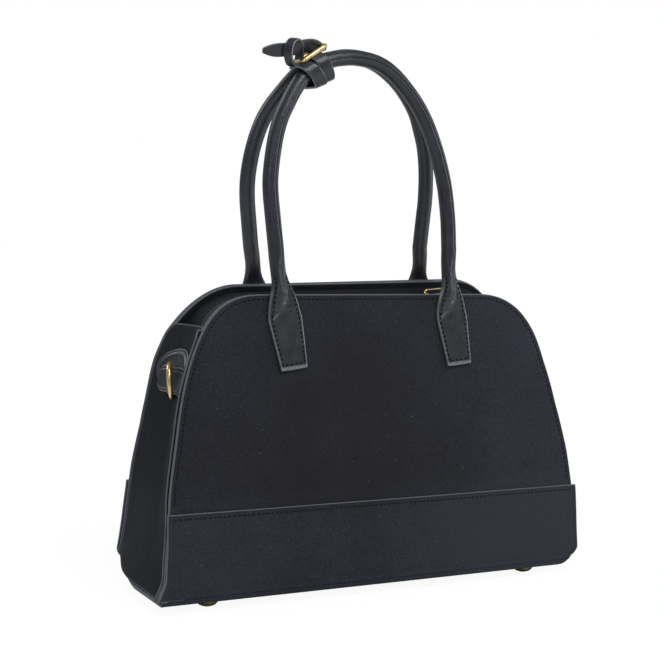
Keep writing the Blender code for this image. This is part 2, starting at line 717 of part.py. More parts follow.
def make_zip():
    """The zip's two tapes with their teeth, under the strips' edges, and the stops at its ends."""
    tape_top = strip_floor() - SEAT_GAP
    half = ZIP_SLOT_WIDTH / 2
    low = tape_top - TAPE_THICKNESS
    tooth_low = low - (TEETH_HEIGHT - TAPE_THICKNESS) / 2
    tooth_top = tape_top + (TEETH_HEIGHT - TAPE_THICKNESS) / 2
    profile = [
        (half, tooth_low), (half + TEETH_WIDTH, tooth_low), (half + TEETH_WIDTH, low),
        (half + TAPE_WIDTH, low), (half + TAPE_WIDTH, tape_top), (half + TEETH_WIDTH, tape_top),
        (half + TEETH_WIDTH, tooth_top), (half, tooth_top),
    ]
    for name, side in (("front_zip_tape", FRONT), ("back_zip_tape", BACK)):
        rings = [[(x, side * y, z) for y, z in profile] for x in (-ZIP_HALF_LENGTH, ZIP_HALF_LENGTH)]
        loft(name, rings, TAPE)
    for name, hand in (("left_zip_stop", LEFT), ("right_zip_stop", RIGHT)):
        x = hand * (ZIP_HALF_LENGTH + SEAT_GAP + STOP_LENGTH / 2)
        z = strip_floor() - SEAT_GAP - STOP_HEIGHT / 2
        box(name, (STOP_LENGTH, ZIP_SLOT_WIDTH + 2 * TEETH_WIDTH, STOP_HEIGHT), (x, 0.0, z), GOLD)
    return tooth_low, tooth_top


def slider_x():
    """The middle of the slider where it is parked, at the zip's right end."""
    return ZIP_HALF_LENGTH - SLIDER_TRAVEL_MARGIN - SLIDER_LENGTH / 2


def make_slider(tooth_low, tooth_top):
    """The slider: a plate above and one below the teeth, a neck between them and a bridge on top."""
    low = tooth_low - SEAT_GAP - SLIDER_PLATE
    top = tooth_top + SEAT_GAP + SLIDER_PLATE
    neck = ZIP_SLOT_WIDTH / 2 - SLIDER_RUN_CLEARANCE
    half = SLIDER_WIDTH / 2
    profile = [
        (-half, low), (half, low), (half, low + SLIDER_PLATE), (neck, low + SLIDER_PLATE),
        (neck, top - SLIDER_PLATE), (half, top - SLIDER_PLATE), (half, top), (-half, top),
        (-half, top - SLIDER_PLATE), (-neck, top - SLIDER_PLATE), (-neck, low + SLIDER_PLATE),
        (-half, low + SLIDER_PLATE),
    ]
    middle = Matrix.Translation((slider_x(), 0.0, 0.0))
    ends = (-SLIDER_LENGTH / 2, SLIDER_LENGTH / 2)
    slider = loft("zip_slider", [[(end, y, z) for y, z in profile] for end in ends], GOLD, middle)
    arch = bpy.data.meshes.new("slider_bridge")
    bm = bmesh.new()
    reach = BRIDGE_LENGTH / 2
    under = BRIDGE_HEIGHT - BRIDGE_WIRE
    sink = SLIDER_PLATE / 2
    outline = [
        (-reach, -sink), (-reach + BRIDGE_WIRE, -sink), (-reach + BRIDGE_WIRE, under),
        (reach - BRIDGE_WIRE, under), (reach - BRIDGE_WIRE, -sink), (reach, -sink),
        (reach, BRIDGE_HEIGHT), (-reach, BRIDGE_HEIGHT),
    ]
    sides = [
        [bm.verts.new((along, y, top + up)) for along, up in outline]
        for y in (-BRIDGE_WIDTH / 2, BRIDGE_WIDTH / 2)
    ]
    for i in range(len(outline)):
        j = (i + 1) % len(outline)
        bm.faces.new((sides[0][i], sides[0][j], sides[1][j], sides[1][i]))
    bm.faces.new(sides[0][::-1])
    bm.faces.new(sides[1])
    bmesh.ops.recalc_face_normals(bm, faces=bm.faces)
    bm.to_mesh(arch)
    bm.free()
    cutter = bpy.data.objects.new("slider_bridge", arch)
    cutter.matrix_world = middle
    CUTTERS.objects.link(cutter)
    cutter.hide_render = True
    cutter.display_type = "WIRE"
    join = slider.modifiers.new("Bridge", "BOOLEAN")
    join.operation = "UNION"
    join.object = cutter
    return top


def make_puller(slider_top):
    """The puller: a long wire loop through the slider's bridge, leaning towards the front."""
    x = slider_x() - BRIDGE_LENGTH / 2 + BRIDGE_WIRE + SEAT_GAP + PULLER_WIRE_RADIUS
    z = slider_top + BRIDGE_HEIGHT - BRIDGE_WIRE - SEAT_GAP - PULLER_WIRE_RADIUS
    radius = PULLER_WIDTH / 2 - PULLER_WIRE_RADIUS
    reach = PULLER_LENGTH - radius - 2 * PULLER_WIRE_RADIUS
    angles = np.linspace(-math.pi / 2, math.pi / 2, PULLER_STEPS + 1)
    arc = [(-reach - radius * math.cos(a), radius * math.sin(a), 0.0) for a in angles]
    narrow = BRIDGE_WIDTH / 2 + SEAT_GAP + PULLER_WIRE_RADIUS
    wide = radius * PULLER_BAR_SHARE
    points = [(0.0, -wide, 0.0), *arc, (0.0, wide, 0.0), (0.0, narrow, 0.0), (0.0, -narrow, 0.0)]
    raised = Matrix.Rotation(math.radians(PULLER_RAISE_DEGREES), 4, "Y")
    rolled = Matrix.Rotation(math.radians(PULLER_ROLL_DEGREES), 4, "X")
    matrix = Matrix.Translation((x, 0.0, z)) @ raised @ rolled
    tube("zip_puller", points, PULLER_WIRE_RADIUS, GOLD, cyclic=True, matrix=matrix)


def tab_sides(foot_x, top_x):
    """A tab's outline up the slope: each level's centre and half width."""
    levels = (
        (TAB_FOOT_HEIGHT, TAB_FOOT_HALF_WIDTH),
        (TAB_SHOULDER_HEIGHT, TAB_SHOULDER_HALF_WIDTH),
        (TAB_TOP_HEIGHT, TAB_TOP_HALF_WIDTH),
    )
    return [
        (np.interp(height, (TAB_FOOT_HEIGHT, TAB_TOP_HEIGHT), (foot_x, top_x)), height, half)
        for height, half in levels
    ]


def tab_centres():
    """The centres of the left and right tabs at their feet and tops, as seen from the front."""
    return (("left", LEFT_TAB_FOOT_X, LEFT_TAB_TOP_X), ("right", RIGHT_TAB_FOOT_X, RIGHT_TAB_TOP_X))


def make_tabs():
    """The flat stitched tab at each foot of each handle."""
    for end, side in (("front", FRONT), ("back", BACK)):
        for hand, foot_x, top_x in tab_centres():
            mirror = -side
            levels = tab_sides(foot_x * mirror, top_x * mirror)
            right = [(centre + half, height) for centre, height, half in levels]
            left = [(centre - half, height) for centre, height, half in levels][::-1]
            matrix = panel_matrix(side) @ Matrix.Translation((0.0, 0.0, SEAT_GAP + TAB_THICKNESS))
            flat_curve(f"{end}_{hand}_tab", [right + left], TAB_THICKNESS, LEATHER, matrix)


def handle_y(z, side):
    """The Y of a handle's middle line at this height: it leans in towards the other handle."""
    return side * np.interp(z, (HANDLE_FOOT_Z, HANDLE_TOP_Z), (HANDLE_FOOT_Y, HANDLE_TOP_Y))


def handle_route(side):
    """The handle's middle line, from its left foot over the top to its right foot."""
    points = []
    for x_share, z_share in FRONT_ROUTE_SHARES if side == FRONT else BACK_ROUTE_SHARES:
        x = HANDLE_CENTRE_X + x_share * HANDLE_HALF_SPAN
        z = HANDLE_FOOT_Z + z_share * (HANDLE_TOP_Z - HANDLE_FOOT_Z)
        points.append((x, handle_y(z, side), z))
    return smooth_route(points, HANDLE_POINTS)


def make_handles():
    """The two rolled handles."""
    for name, side in (("front_handle", FRONT), ("back_handle", BACK)):
        tube(name, handle_route(side), HANDLE_RADIUS, LEATHER, resolution=HANDLE_BEVEL_RESOLUTION)


def make_necks():
    """The soft neck between each tab and its handle, from the tab's flat section to a round one."""
    turns = np.arange(NECK_RING_POINTS) * 2 * math.pi / NECK_RING_POINTS
    for end, side in (("front", FRONT), ("back", BACK)):
        route = handle_route(side)
        ends = ((route[0], route[1] - route[0]), (route[-1], route[-2] - route[-1]))
        up_slope = np.array((0.0, -side * math.sin(LEAN), math.cos(LEAN)))
        for (hand, _, top_x), (last, ahead) in zip(tab_centres(), ends):
            foot_height = TAB_TOP_HEIGHT + SEAT_GAP
            foot = panel_matrix(FRONT) @ Vector((top_x, foot_height, SEAT_GAP))
            rings = []
            for up, wide, thick, moved in NECK_RING_SHARES:
                half_w = TAB_TOP_HALF_WIDTH + (HANDLE_RADIUS - TAB_TOP_HALF_WIDTH) * wide
                half_t = TAB_THICKNESS / 2 + (HANDLE_RADIUS - TAB_THICKNESS / 2) * thick
                z = foot.z + (last[2] - SEAT_GAP - foot.z) * up
                x = foot.x + (last[0] - foot.x) * up
                on_panel = abs(outer_face_y(z, FRONT)) + (SEAT_GAP + half_t) / math.cos(LEAN)
                y = side * (on_panel + (abs(last[1]) - on_panel) * moved)
                power = 2 / (2 + NECK_SQUARENESS * (1 - wide))
                tilt = up_slope * (1 - moved) + ahead / np.linalg.norm(ahead) * moved
                ring = []
                for turn in turns:
                    c, s = math.cos(turn), math.sin(turn)
                    dx = half_w * math.copysign(abs(c) ** power, c)
                    dy = side * half_t * math.copysign(abs(s) ** power, s)
                    ring.append((x + dx, y + dy, z - (dx * tilt[0] + dy * tilt[1]) / tilt[2]))
                rings.append(ring)
            loft(f"{end}_{hand}_neck", rings, LEATHER)


def belt_station(along):
    """The belt's frame this far along the handles from its middle, and the handles' Y there.

    X runs along the handles, Y towards the back and Z away from them.
    """
    route = handle_route(BACK)
    run = np.concatenate(([0.0], np.cumsum(np.linalg.norm(np.diff(route, axis=0), axis=1))))
    rising = route[: HANDLE_POINTS // 2]
    middle = np.interp(BELT_X, rising[:, 0], run[: HANDLE_POINTS // 2])
    x, y, z = (np.interp(middle + along, run, route[:, axis]) for axis in range(3))
    step = HANDLE_RADIUS / 2
    behind, ahead = (
        [np.interp(middle + along + shift, run, route[:, axis]) for axis in (0, 2)] for shift in (-step, step)
    )
    slope = math.atan2(ahead[1] - behind[1], ahead[0] - behind[0])
    return Matrix.Translation((x, 0.0, z)) @ Matrix.Rotation(-slope, 4, "Y"), y


def stadium(turn, straight, radius):
    """A point on a stadium round both handles. One turn is 1, and it starts at the top's middle."""
    arc = math.pi * radius
    total = 2 * arc + 4 * straight
    run = (turn % 1.0) * total
    if run < straight:
        return (-run, radius)
    run -= straight
    if run < arc:
        angle = math.pi / 2 + run / radius
        return (-straight + radius * math.cos(angle), radius * math.sin(angle))
    run -= arc
    if run < 2 * straight:
        return (-straight + run, -radius)
    run -= 2 * straight
    if run < arc:
        angle = -math.pi / 2 + run / radius
        return (straight + radius * math.cos(angle), radius * math.sin(angle))
    return (straight - (run - arc), radius)


def ribbon(name, centres, wide, widths, thickness, finish, matrix):
    """A strap along a route: each point has its own width and the direction that the width lies in."""
    centres = np.array(centres)
    ahead = np.gradient(centres, axis=0)
    ahead /= np.linalg.norm(ahead, axis=1)[:, None]
    wide = np.array(wide)
    wide = wide - ahead * (wide * ahead).sum(axis=1)[:, None]
    wide /= np.linalg.norm(wide, axis=1)[:, None]
    out = np.cross(ahead, wide)
    rings = []
    for centre, across, normal, width in zip(centres, wide, out, widths):
        half = across * width / 2
        lift = normal * thickness / 2
        rings.append([centre + half + lift, centre - half + lift, centre - half - lift, centre + half - lift])
    return loft(name, rings, finish, matrix)


def make_belt():
    """The strap wound round both handles, its tail through the buckle and its pointed tip."""
    matrix, _ = belt_station(0.0)
    radius = HANDLE_RADIUS + BELT_HANDLE_CLEARANCE + BELT_THICKNESS / 2
    start = BELT_PITCH * BELT_START_TURNS
    wound = []
    for step in range(BELT_TURNS * BELT_STEPS_PER_TURN + 1):
        turn = step / BELT_STEPS_PER_TURN
        station, straight = belt_station(start + BELT_PITCH * turn)
        y, up = stadium(turn, straight, radius)
        up -= BELT_DROP * max(-up, 0.0) / radius
        wound.append(matrix.inverted() @ station @ Vector((0.0, y, up)))
    wound = [tuple(point) for point in wound]
    tail = smooth_route([wound[-1], *BELT_TAIL_ROUTE], BELT_TAIL_STEPS)
    centres = np.vstack((wound, tail[1:]))
    along = np.array((1.0, 0.0, 0.0))
    upright = np.array(BELT_TAIL_WIDTH_DIRECTION)
    turning = np.clip(np.arange(1, len(tail)) / BELT_TAIL_TURNING_STEPS, 0.0, 1.0)
    wide = np.vstack(([along] * len(wound), [along * (1 - t) + upright * t for t in turning]))
    widths = np.full(len(centres), BELT_WIDTH)
    widths[-1] = BELT_WIDTH * BELT_TIP_SHARE
    ribbon("belt_strap", centres, wide, widths, BELT_THICKNESS, LEATHER, matrix)
    make_keeper(tail, upright, matrix)
    return matrix, radius


def make_keeper(tail, upright, matrix):
    """The small loop that holds the belt's tail down."""
    ahead = tail[KEEPER_TAIL_STEP + 1] - tail[KEEPER_TAIL_STEP - 1]
    ahead /= np.linalg.norm(ahead)
    wide = upright - ahead * (upright @ ahead)
    wide /= np.linalg.norm(wide)
    out = np.cross(ahead, wide)
    half_w = BELT_WIDTH / 2 + SEAT_GAP
    half_t = BELT_THICKNESS / 2 + SEAT_GAP
    rings = []
    for quarter, (sx, sy) in enumerate(((1, 1), (-1, 1), (-1, -1), (1, -1))):
        for step in range(KEEPER_CORNER_STEPS + 1):
            angle = math.pi / 2 * (quarter + step / KEEPER_CORNER_STEPS)
            spoke = wide * math.cos(angle) + out * math.sin(angle)
            corner = tail[KEEPER_TAIL_STEP] + wide * sx * half_w + out * sy * half_t
            outer = corner + spoke * KEEPER_THICKNESS
            edge = ahead * KEEPER_WIDTH / 2
            rings.append([corner - edge, corner + edge, outer + edge, outer - edge])
    loft("belt_keeper", rings, LEATHER, matrix, endless=True)


def make_buckle(matrix, radius):
    """The belt's buckle frame and its prong, lying on the wound strap."""
    lift = radius + BELT_THICKNESS / 2 + SEAT_GAP + BUCKLE_WIRE_RADIUS
    half_l = BUCKLE_LENGTH / 2 - BUCKLE_WIRE_RADIUS
    half_d = BUCKLE_DEPTH / 2 - BUCKLE_WIRE_RADIUS
    corner = BUCKLE_CORNER_RADIUS
    points = []
    for quarter, (sx, sy) in enumerate(((1, 1), (-1, 1), (-1, -1), (1, -1))):
        for step in range(BUCKLE_CORNER_STEPS + 1):
            angle = math.pi / 2 * (quarter + step / BUCKLE_CORNER_STEPS)
            points.append((
                sx * (half_l - corner) + corner * math.cos(angle),
                sy * (half_d - corner) + corner * math.sin(angle),
                lift,
            ))
    tube("buckle_frame", points, BUCKLE_WIRE_RADIUS, GOLD, cyclic=True, matrix=matrix)
    reach = half_d - BUCKLE_WIRE_RADIUS - SEAT_GAP
    prong = [(-PRONG_OFFSET, -reach, lift), (-PRONG_OFFSET, reach, lift)]
    tube("buckle_prong", prong, PRONG_RADIUS, GOLD, matrix=matrix)


def wall_outer_x(y, height):
    """How far out the gusset's outer face is, at this Y and this distance up the slope."""
    flat = inset_x(height, SIDE_FLANGE_WIDTH + SKIN_THICKNESS)
    return flat + SKIN_THICKNESS - crease_depth(height) * (1 - min(abs(y) / seat_y(height), 1.0))


def side_point(y, height, lift, hand):
    """A point above the gusset's outer face, by this lift."""
    return (hand * (wall_outer_x(y, height) + lift), y, seat_z(height))


def make_patches():
    """The oval patch on each side gusset, folded a little along its crease."""
    middle = PATCH_HEIGHT_SHARE * SLANT
    lift = 2 * SEAT_GAP
    angles = np.arange(PATCH_SEGMENTS) * 2 * math.pi / PATCH_SEGMENTS
    for name, hand in (("left_patch", LEFT), ("right_patch", RIGHT)):
        rings = []
        for share in np.linspace(0.0, 1.0, PATCH_RINGS + 1)[1:]:
            rings.append([
                side_point(
                    hand * PATCH_HALF_WIDTH * share * math.cos(a),
                    middle + PATCH_HALF_HEIGHT * share * math.sin(a), lift, hand,
                )
                for a in angles
            ])
        disc_shell(name, side_point(0.0, middle, lift, hand), rings, -PATCH_THICKNESS, LEATHER)


def ring_bar_x():
    """How far out the middle of a ring's upright bar is, so that it clears the patch all along."""
    middle = STRAP_HEIGHT_SHARE * SLANT
    heights = np.linspace(middle - RING_HEIGHT / 2, middle + RING_HEIGHT / 2, RING_ARC_STEPS + 1)
    patch = max(wall_outer_x(RING_Y, height) for height in heights) + 2 * SEAT_GAP + PATCH_THICKNESS
    return patch + RING_BAR_CLEARANCE + RING_WIRE_RADIUS


def make_ring_straps():
    """The strap over each patch, humped over the ring's bar."""
    middle = STRAP_HEIGHT_SHARE * SLANT
    flat = 3 * SEAT_GAP + PATCH_THICKNESS
    over_bar = ring_bar_x() + RING_WIRE_RADIUS + RING_BAR_CLEARANCE
    for name, hand in (("left_ring_strap", LEFT), ("right_ring_strap", RIGHT)):
        rows = []
        for height in np.linspace(middle - STRAP_HEIGHT / 2, middle + STRAP_HEIGHT / 2, STRAP_ROWS):
            row = []
            for y in np.linspace(-STRAP_FRONT_REACH, STRAP_BACK_REACH, STRAP_COLUMNS):
                near = min(abs(y - RING_Y) / STRAP_HUMP_HALF_WIDTH, 1.0)
                hump = over_bar - wall_outer_x(y, height) - flat
                row.append(side_point(y, height, flat + hump * math.cos(near * math.pi / 2) ** 2, hand))
            rows.append(row)
        shell(name, rows if hand == RIGHT else rows[::-1], -STRAP_THICKNESS, LEATHER)


def make_rings():
    """The D-shaped ring on each side, its upright bar under the strap and its bow let down forwards."""
    half = RING_HEIGHT / 2 - RING_WIRE_RADIUS
    angles = np.linspace(-math.pi / 2, math.pi / 2, RING_ARC_STEPS + 1)
    reach = RING_DEPTH - RING_WIRE_RADIUS * 2
    bow = [(reach * math.cos(a), 0.0, half * math.sin(a)) for a in angles]
    bar = [(0.0, 0.0, half * share) for share in RING_BAR_SHARES]
    swing = math.radians(RING_REST_DEGREES)
    for name, hand in (("left_ring", LEFT), ("right_ring", RIGHT)):
        ahead = Vector((hand * math.cos(swing), -math.sin(swing), 0.0))
        axis = Vector((0.0, 0.0, 1.0))
        frame = Matrix((ahead, axis.cross(ahead), axis)).transposed().to_4x4()
        frame.translation = (hand * ring_bar_x(), RING_Y, seat_z(STRAP_HEIGHT_SHARE * SLANT))
        tube(name, bow + bar, RING_WIRE_RADIUS, GOLD, cyclic=True, matrix=frame)


def hang_handles():
    """Put the handles and their belt on an empty on the line that they swing about."""
    pivot = bpy.data.objects.new("handle_pivot", None)
    pivot.location = (0.0, 0.0, HANDLE_PIVOT_Z)
    pivot.empty_display_size = HANDLE_RADIUS
    BAG.objects.link(pivot)
    shift = Matrix.Translation((0.0, 0.0, -HANDLE_PIVOT_Z))
    for name in SWINGING_PIECES:
        piece = bpy.data.objects[name]
        piece.parent = pivot
        piece.matrix_parent_inverse = shift


def main():
    """Build the whole bag."""
    make_panels()
    make_bands()
    make_base()
    make_board()
    make_feet()
    make_gussets()
    make_zip_strips()
    tooth_low, tooth_top = make_zip()
    slider_top = make_slider(tooth_low, tooth_top)
    make_puller(slider_top)
    make_tabs()
    make_handles()
    make_necks()
    matrix, radius = make_belt()
    make_buckle(matrix, radius)
    make_patches()
    make_ring_straps()
    make_rings()
    hang_handles()


clear_scene()
BAG = bag_collection()
CUTTERS = bpy.data.collections.new("cutters")
bpy.context.scene.collection.children.link(CUTTERS)
CUTTERS.hide_render = True
main()
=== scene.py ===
"""The looks of a black bowler bag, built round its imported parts.

Every length is in metres, in the frame of the parts: +Z is up, the front looks along -Y, and the origin is on
the floor under the middle of the bag.
"""

import sys
import logging
import math
from collections.abc import Callable, Sequence
from dataclasses import dataclass, field
from enum import Enum
from typing import Union

import bpy
import numpy as np
from mathutils import Matrix, Vector


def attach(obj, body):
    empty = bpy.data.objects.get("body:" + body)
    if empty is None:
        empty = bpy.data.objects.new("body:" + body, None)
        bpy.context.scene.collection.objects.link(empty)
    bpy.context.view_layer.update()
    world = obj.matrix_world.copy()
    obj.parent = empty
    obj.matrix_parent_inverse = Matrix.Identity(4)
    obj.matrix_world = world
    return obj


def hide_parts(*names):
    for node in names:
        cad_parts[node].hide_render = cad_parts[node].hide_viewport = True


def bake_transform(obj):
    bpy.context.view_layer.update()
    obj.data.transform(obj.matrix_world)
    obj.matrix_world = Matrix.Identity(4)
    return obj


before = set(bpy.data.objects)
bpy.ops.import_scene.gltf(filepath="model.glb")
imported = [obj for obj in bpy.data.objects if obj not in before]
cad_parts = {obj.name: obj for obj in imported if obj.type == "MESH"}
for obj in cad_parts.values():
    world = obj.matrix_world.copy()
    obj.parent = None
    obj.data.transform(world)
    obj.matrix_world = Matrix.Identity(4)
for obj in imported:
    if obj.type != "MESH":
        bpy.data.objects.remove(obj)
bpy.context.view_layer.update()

LOG = logging.getLogger("bowler_bag")
Array = np.ndarray
Colour = tuple[float, float, float]
Pairs = tuple[tuple[float, float], ...]
Value = Union[float, tuple[float, ...], "Wire"]


class Way(Enum):
    """Where on the bag a piece is. The value is the sign of one of its coordinates."""

    @property
    def label(self) -> str:
        """The word for it in the pieces' names."""
        return self.name.lower()


class Side(Way):
    """Which long side of the bag: the sign of Y."""

    FRONT = -1
    BACK = 1


class Hand(Way):
    """Which end of the bag, as seen from the front: the sign of X."""

    LEFT = -1
    RIGHT = 1


@dataclass(frozen=True)
class Sizes:
    """The sizes that the solids have too."""

    base_depth: float = 0.108
    top_depth: float = 0.038
    rim_height: float = 0.198
    foot_height: float = 0.006
    seat_gap: float = 0.0003
    panel: float = 0.0030
    base_half_width: float = 0.1532
    shoulder_half_width: float = 0.1315
    rim_half_width: float = 0.084
    shoulder_share: float = 0.812
    skin: float = 0.0018
    base_fold_height: float = 0.0048
    base_thickness: float = 0.0022
    band: float = 0.0020
    band_height: float = 0.0503
    side_flange: float = 0.0038
    top_flange: float = 0.0050
    gusset_top_share: float = 0.860
    crease: float = 0.0063
    handle_radius: float = 0.0052
    handle_foot_z: float = 0.2260
    handle_top_z: float = 0.3525
    tab: float = 0.0023
    tab_top: float = 0.1840
    tab_foot: float = 0.1435
    ring_x: float = 0.1377641
    ring_y: float = -0.0020
    ring_z: float = 0.1390402

    @property
    def rise(self) -> float:
        """How high the rim is above the base."""
        return self.rim_height - self.foot_height

    @property
    def lean(self) -> float:
        """How far the panels lean in, in radians."""
        return math.atan2((self.base_depth - self.top_depth) / 2, self.rise)

    @property
    def slant(self) -> float:
        """The panels' height along their slope."""
        return self.rise / math.cos(self.lean)


SIZES = Sizes()
CORNER = 0.0120  # The radius of the rounded lower corners.
FOOT_FADE = (0.028, 0.052)  # The heights between which the front left foot stops standing out.


# Curves and grids


def smooth(low: float, high: Array | float, value: Array | float) -> Array | float:
    """A smooth step: 0 up to low, 1 from high, and 3t^2 - 2t^3 between them."""
    t = np.clip((value - low) / (high - low), 0.0, 1.0)
    return t * t * (3 - 2 * t)


def fade(low: float, high: float, value: Array | float) -> Array | float:
    """The smooth step turned round: 1 up to low, 0 from high."""
    return 1 - smooth(low, high, value)


def bell(offset: Array, width: float) -> Array:
    """A bump of height 1: e^-(offset / width)^2."""
    return np.exp(-((offset / width) ** 2))


def unit(vectors: Array) -> Array:
    """Each vector divided by its length."""
    return vectors / np.linalg.norm(vectors, axis=-1, keepdims=True)


def square_to(vectors: Array, ahead: Array) -> Array:
    """Unit vectors square to others: each vector less its part along the other."""
    return unit(vectors - ahead * np.sum(vectors * ahead, axis=-1, keepdims=True))


def bezier(a: Array, b: Array, c: Array, d: Array) -> Array:
    """A cubic Bezier in 28 stretches: (1-t)^3 a + 3(1-t)^2 t b + 3(1-t) t^2 c + t^3 d."""
    t = np.linspace(0.0, 1.0, 29)[:, None]
    return (1 - t) ** 3 * a + 3 * (1 - t) ** 2 * t * b + 3 * (1 - t) * t**2 * c + t**3 * d


def along(points: Array) -> Array:
    """How far along a route each point is."""
    return np.concatenate(([0.0], np.cumsum(np.linalg.norm(np.diff(points, axis=0), axis=1))))


def looked_up(at: Array, run: Array, points: Array) -> Array:
    """Each coordinate of a route at the given distances along it."""
    return np.column_stack([np.interp(at, run, column) for column in points.T])


def spread(points: Array, count: int) -> Array:
    """The route's own line, cut into even stretches."""
    run = along(points)
    return looked_up(np.linspace(0.0, run[-1], count), run, points)


def smooth_route(points: Sequence[Sequence[float]], count: int, closed: bool = False) -> Array:
    """A Catmull-Rom curve through a route's points, cut into even stretches.

    Between b and c it is half of 2b + (c-a)t + (2a-5b+4c-d)t^2 + (3b-a-3c+d)t^3.

    Args:
        points: The points that the curve passes through.
        count: How many points the result has.
        closed: Whether it runs back to its start.

    Returns:
        The curve's points. A closed one doesn't repeat its first point.
    """
    p = np.asarray(points, float)
    padded = np.vstack((p[-1:], p, p[:2]) if closed else (2 * p[0] - p[1], p, 2 * p[-1] - p[-2]))
    t = np.linspace(0.0, 1.0, 16, endpoint=False)[None, :, None]
    a, b, c, d = (q[:, None, :] for q in (padded[:-3], padded[1:-2], padded[2:-1], padded[3:]))
    fine = 0.5 * (2 * b + (c - a) * t + (2 * a - 5 * b + 4 * c - d) * t**2 + (3 * b - a - 3 * c + d) * t**3)
    fine = np.vstack((fine.reshape(-1, p.shape[1]), p[0] if closed else p[-1]))
    return spread(fine, count + 1)[:-1] if closed else spread(fine, count)


def tangents(points: Array, closed: bool = False) -> Array:
    """The direction of a route at each of its points.

    Args:
        points: The route's points, one row each.
        closed: Whether its end leads back to its start.

    Returns:
        One unit direction for each point.
    """
    if closed:
        return unit(np.roll(points, -1, axis=0) - np.roll(points, 1, axis=0))
    return unit(np.gradient(points, axis=0))


def moved_in(points: Array, amount: float, closed: bool = True) -> Array:
    """An outline that turns left, moved inwards: each point plus the amount times its left normal."""
    ahead = tangents(points, closed)
    return points + np.column_stack((-ahead[:, 1], ahead[:, 0])) * amount


def round_trip(right: Array, left: Array, cuts: tuple[int, int, int]) -> Array:
    """A closed outline that turns left: its foot, its right edge, its top and its left edge.

    Args:
        right: The right edge from its foot to its top.
        left: The left edge from its foot to its top.
        cuts: How many even stretches each side edge, the straight foot and the straight top are cut into.

    Returns:
        The outline's points.
    """
    side, foot, top = cuts
    runs = ((np.array((left[0], right[0])), foot), (right, side), (np.array((right[-1], left[-1])), top),
            (left[::-1], side))
    return np.vstack([spread(points, count + 1)[:-1] for points, count in runs])


def tucked(heights: Array, radius: float = CORNER) -> Array:
    """How far in a rounded lower corner sets an edge: radius - sqrt(radius^2 - drop^2), drop = radius - height."""
    drop = np.clip(radius - heights, 0.0, radius)
    return radius - np.sqrt(radius**2 - drop**2)


def turns(count: int, start: float = 0.0) -> Array:
    """Even angles round a circle."""
    return (np.arange(count) + start) * 2 * math.pi / count


def soft_box(half_width: float, half_height: float, power: float, count: int) -> Array:
    """A rounded oblong: x = w sign(c) |c|^p and y = h sign(s) |s|^p, for the cosine and sine of the angle.

    Args:
        half_width: Half of its width, w, in metres.
        half_height: Half of its height, h, in metres.
        power: The power p, 1 for an ellipse and less for squarer corners.
        count: How many points go round it.

    Returns:
        The points, one row each.
    """
    around = turns(count, 0.5)
    c, s = np.cos(around), np.sin(around)
    return np.column_stack((
        half_width * np.sign(c) * np.abs(c) ** power, half_height * np.sign(s) * np.abs(s) ** power
    ))


def grid_faces(rows: int, columns: int, around: bool = False, closed: bool = False) -> Array:
    """The four-sided faces of a grid of points that is stored row by row.

    Args:
        rows: How many rows it has.
        columns: How many points each row has.
        around: Whether each row closes on itself.
        closed: Whether the last row joins the first.

    Returns:
        Four point numbers for each face.
    """
    i = np.arange(rows if closed else rows - 1)[:, None]
    j = np.arange(columns if around else columns - 1)[None, :]
    i2, j2 = (i + 1) % rows, (j + 1) % columns
    corners = np.broadcast_arrays(i * columns + j, i * columns + j2, i2 * columns + j2, i2 * columns + j)
    return np.stack(corners, axis=-1).reshape(-1, 4)


# Surfaces


@dataclass
class Surface:
    """A closed mesh: points, faces as rows of four point numbers, and masks from 0 to 1 at each point.

    A triangle is a row that repeats a number. The finishes read the masks by their names.
    """

    points: Array
    faces: Array
    masks: dict[str, Array] = field(default_factory=dict)

    def volume(self) -> float:
        """Six times the volume inside: the sum of a . (b x c) over the triangles. It is negative if inside out.

        Returns:
            That sum, in cubic metres.
        """
        total = 0.0
        for corners in ((0, 1, 2), (0, 2, 3)):
            a, b, c = (self.points[self.faces[:, k]] for k in corners)
            total += float(np.einsum("ij,ij->i", a, np.cross(b, c)).sum())
        return total

    def add(
        self, name: str, finish: bpy.types.Material, slot: str, *solids: str, body: str | None = "bag",
        sharp_degrees: float | None = None,
    ) -> bpy.types.Object:
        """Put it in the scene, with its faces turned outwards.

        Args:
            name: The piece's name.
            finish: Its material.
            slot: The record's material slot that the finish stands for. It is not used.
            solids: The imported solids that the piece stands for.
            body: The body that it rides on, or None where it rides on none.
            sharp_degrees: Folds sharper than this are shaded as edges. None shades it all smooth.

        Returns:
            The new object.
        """
        faces = self.faces[:, ::-1] if self.volume() < 0 else self.faces
        rows = [[corner for k, corner in enumerate(row) if corner != row[k - 1]] for row in faces.tolist()]
        mesh = bpy.data.meshes.new(name)
        mesh.from_pydata(self.points.tolist(), [], rows)
        for label, values in self.masks.items():
            layer = mesh.attributes.new(label, "FLOAT", "POINT")
            layer.data.foreach_set("value", np.asarray(values, np.float32).ravel())
        mesh.shade_smooth()
        if sharp_degrees is not None:
            mesh.set_sharp_from_angle(angle=math.radians(sharp_degrees))
        mesh.validate()
        mesh.materials.append(finish)
        obj = bpy.data.objects.new(name, mesh)
        bpy.context.scene.collection.objects.link(obj)
        if body is not None:
            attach(obj, body)
        if solids:
            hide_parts(*solids)
        LOG.info("%s: %d points, %d faces", name, len(self.points), len(rows))
        return obj


def joined(parts: Sequence[Surface]) -> Surface:
    """Several closed meshes as one, without their masks.

    Args:
        parts: The meshes.

    Returns:
        One mesh with the points and faces of them all.
    """
    starts = np.cumsum([0] + [len(part.points) for part in parts])
    faces = [part.faces + start for part, start in zip(parts, starts)]
    return Surface(np.vstack([part.points for part in parts]), np.vstack(faces))


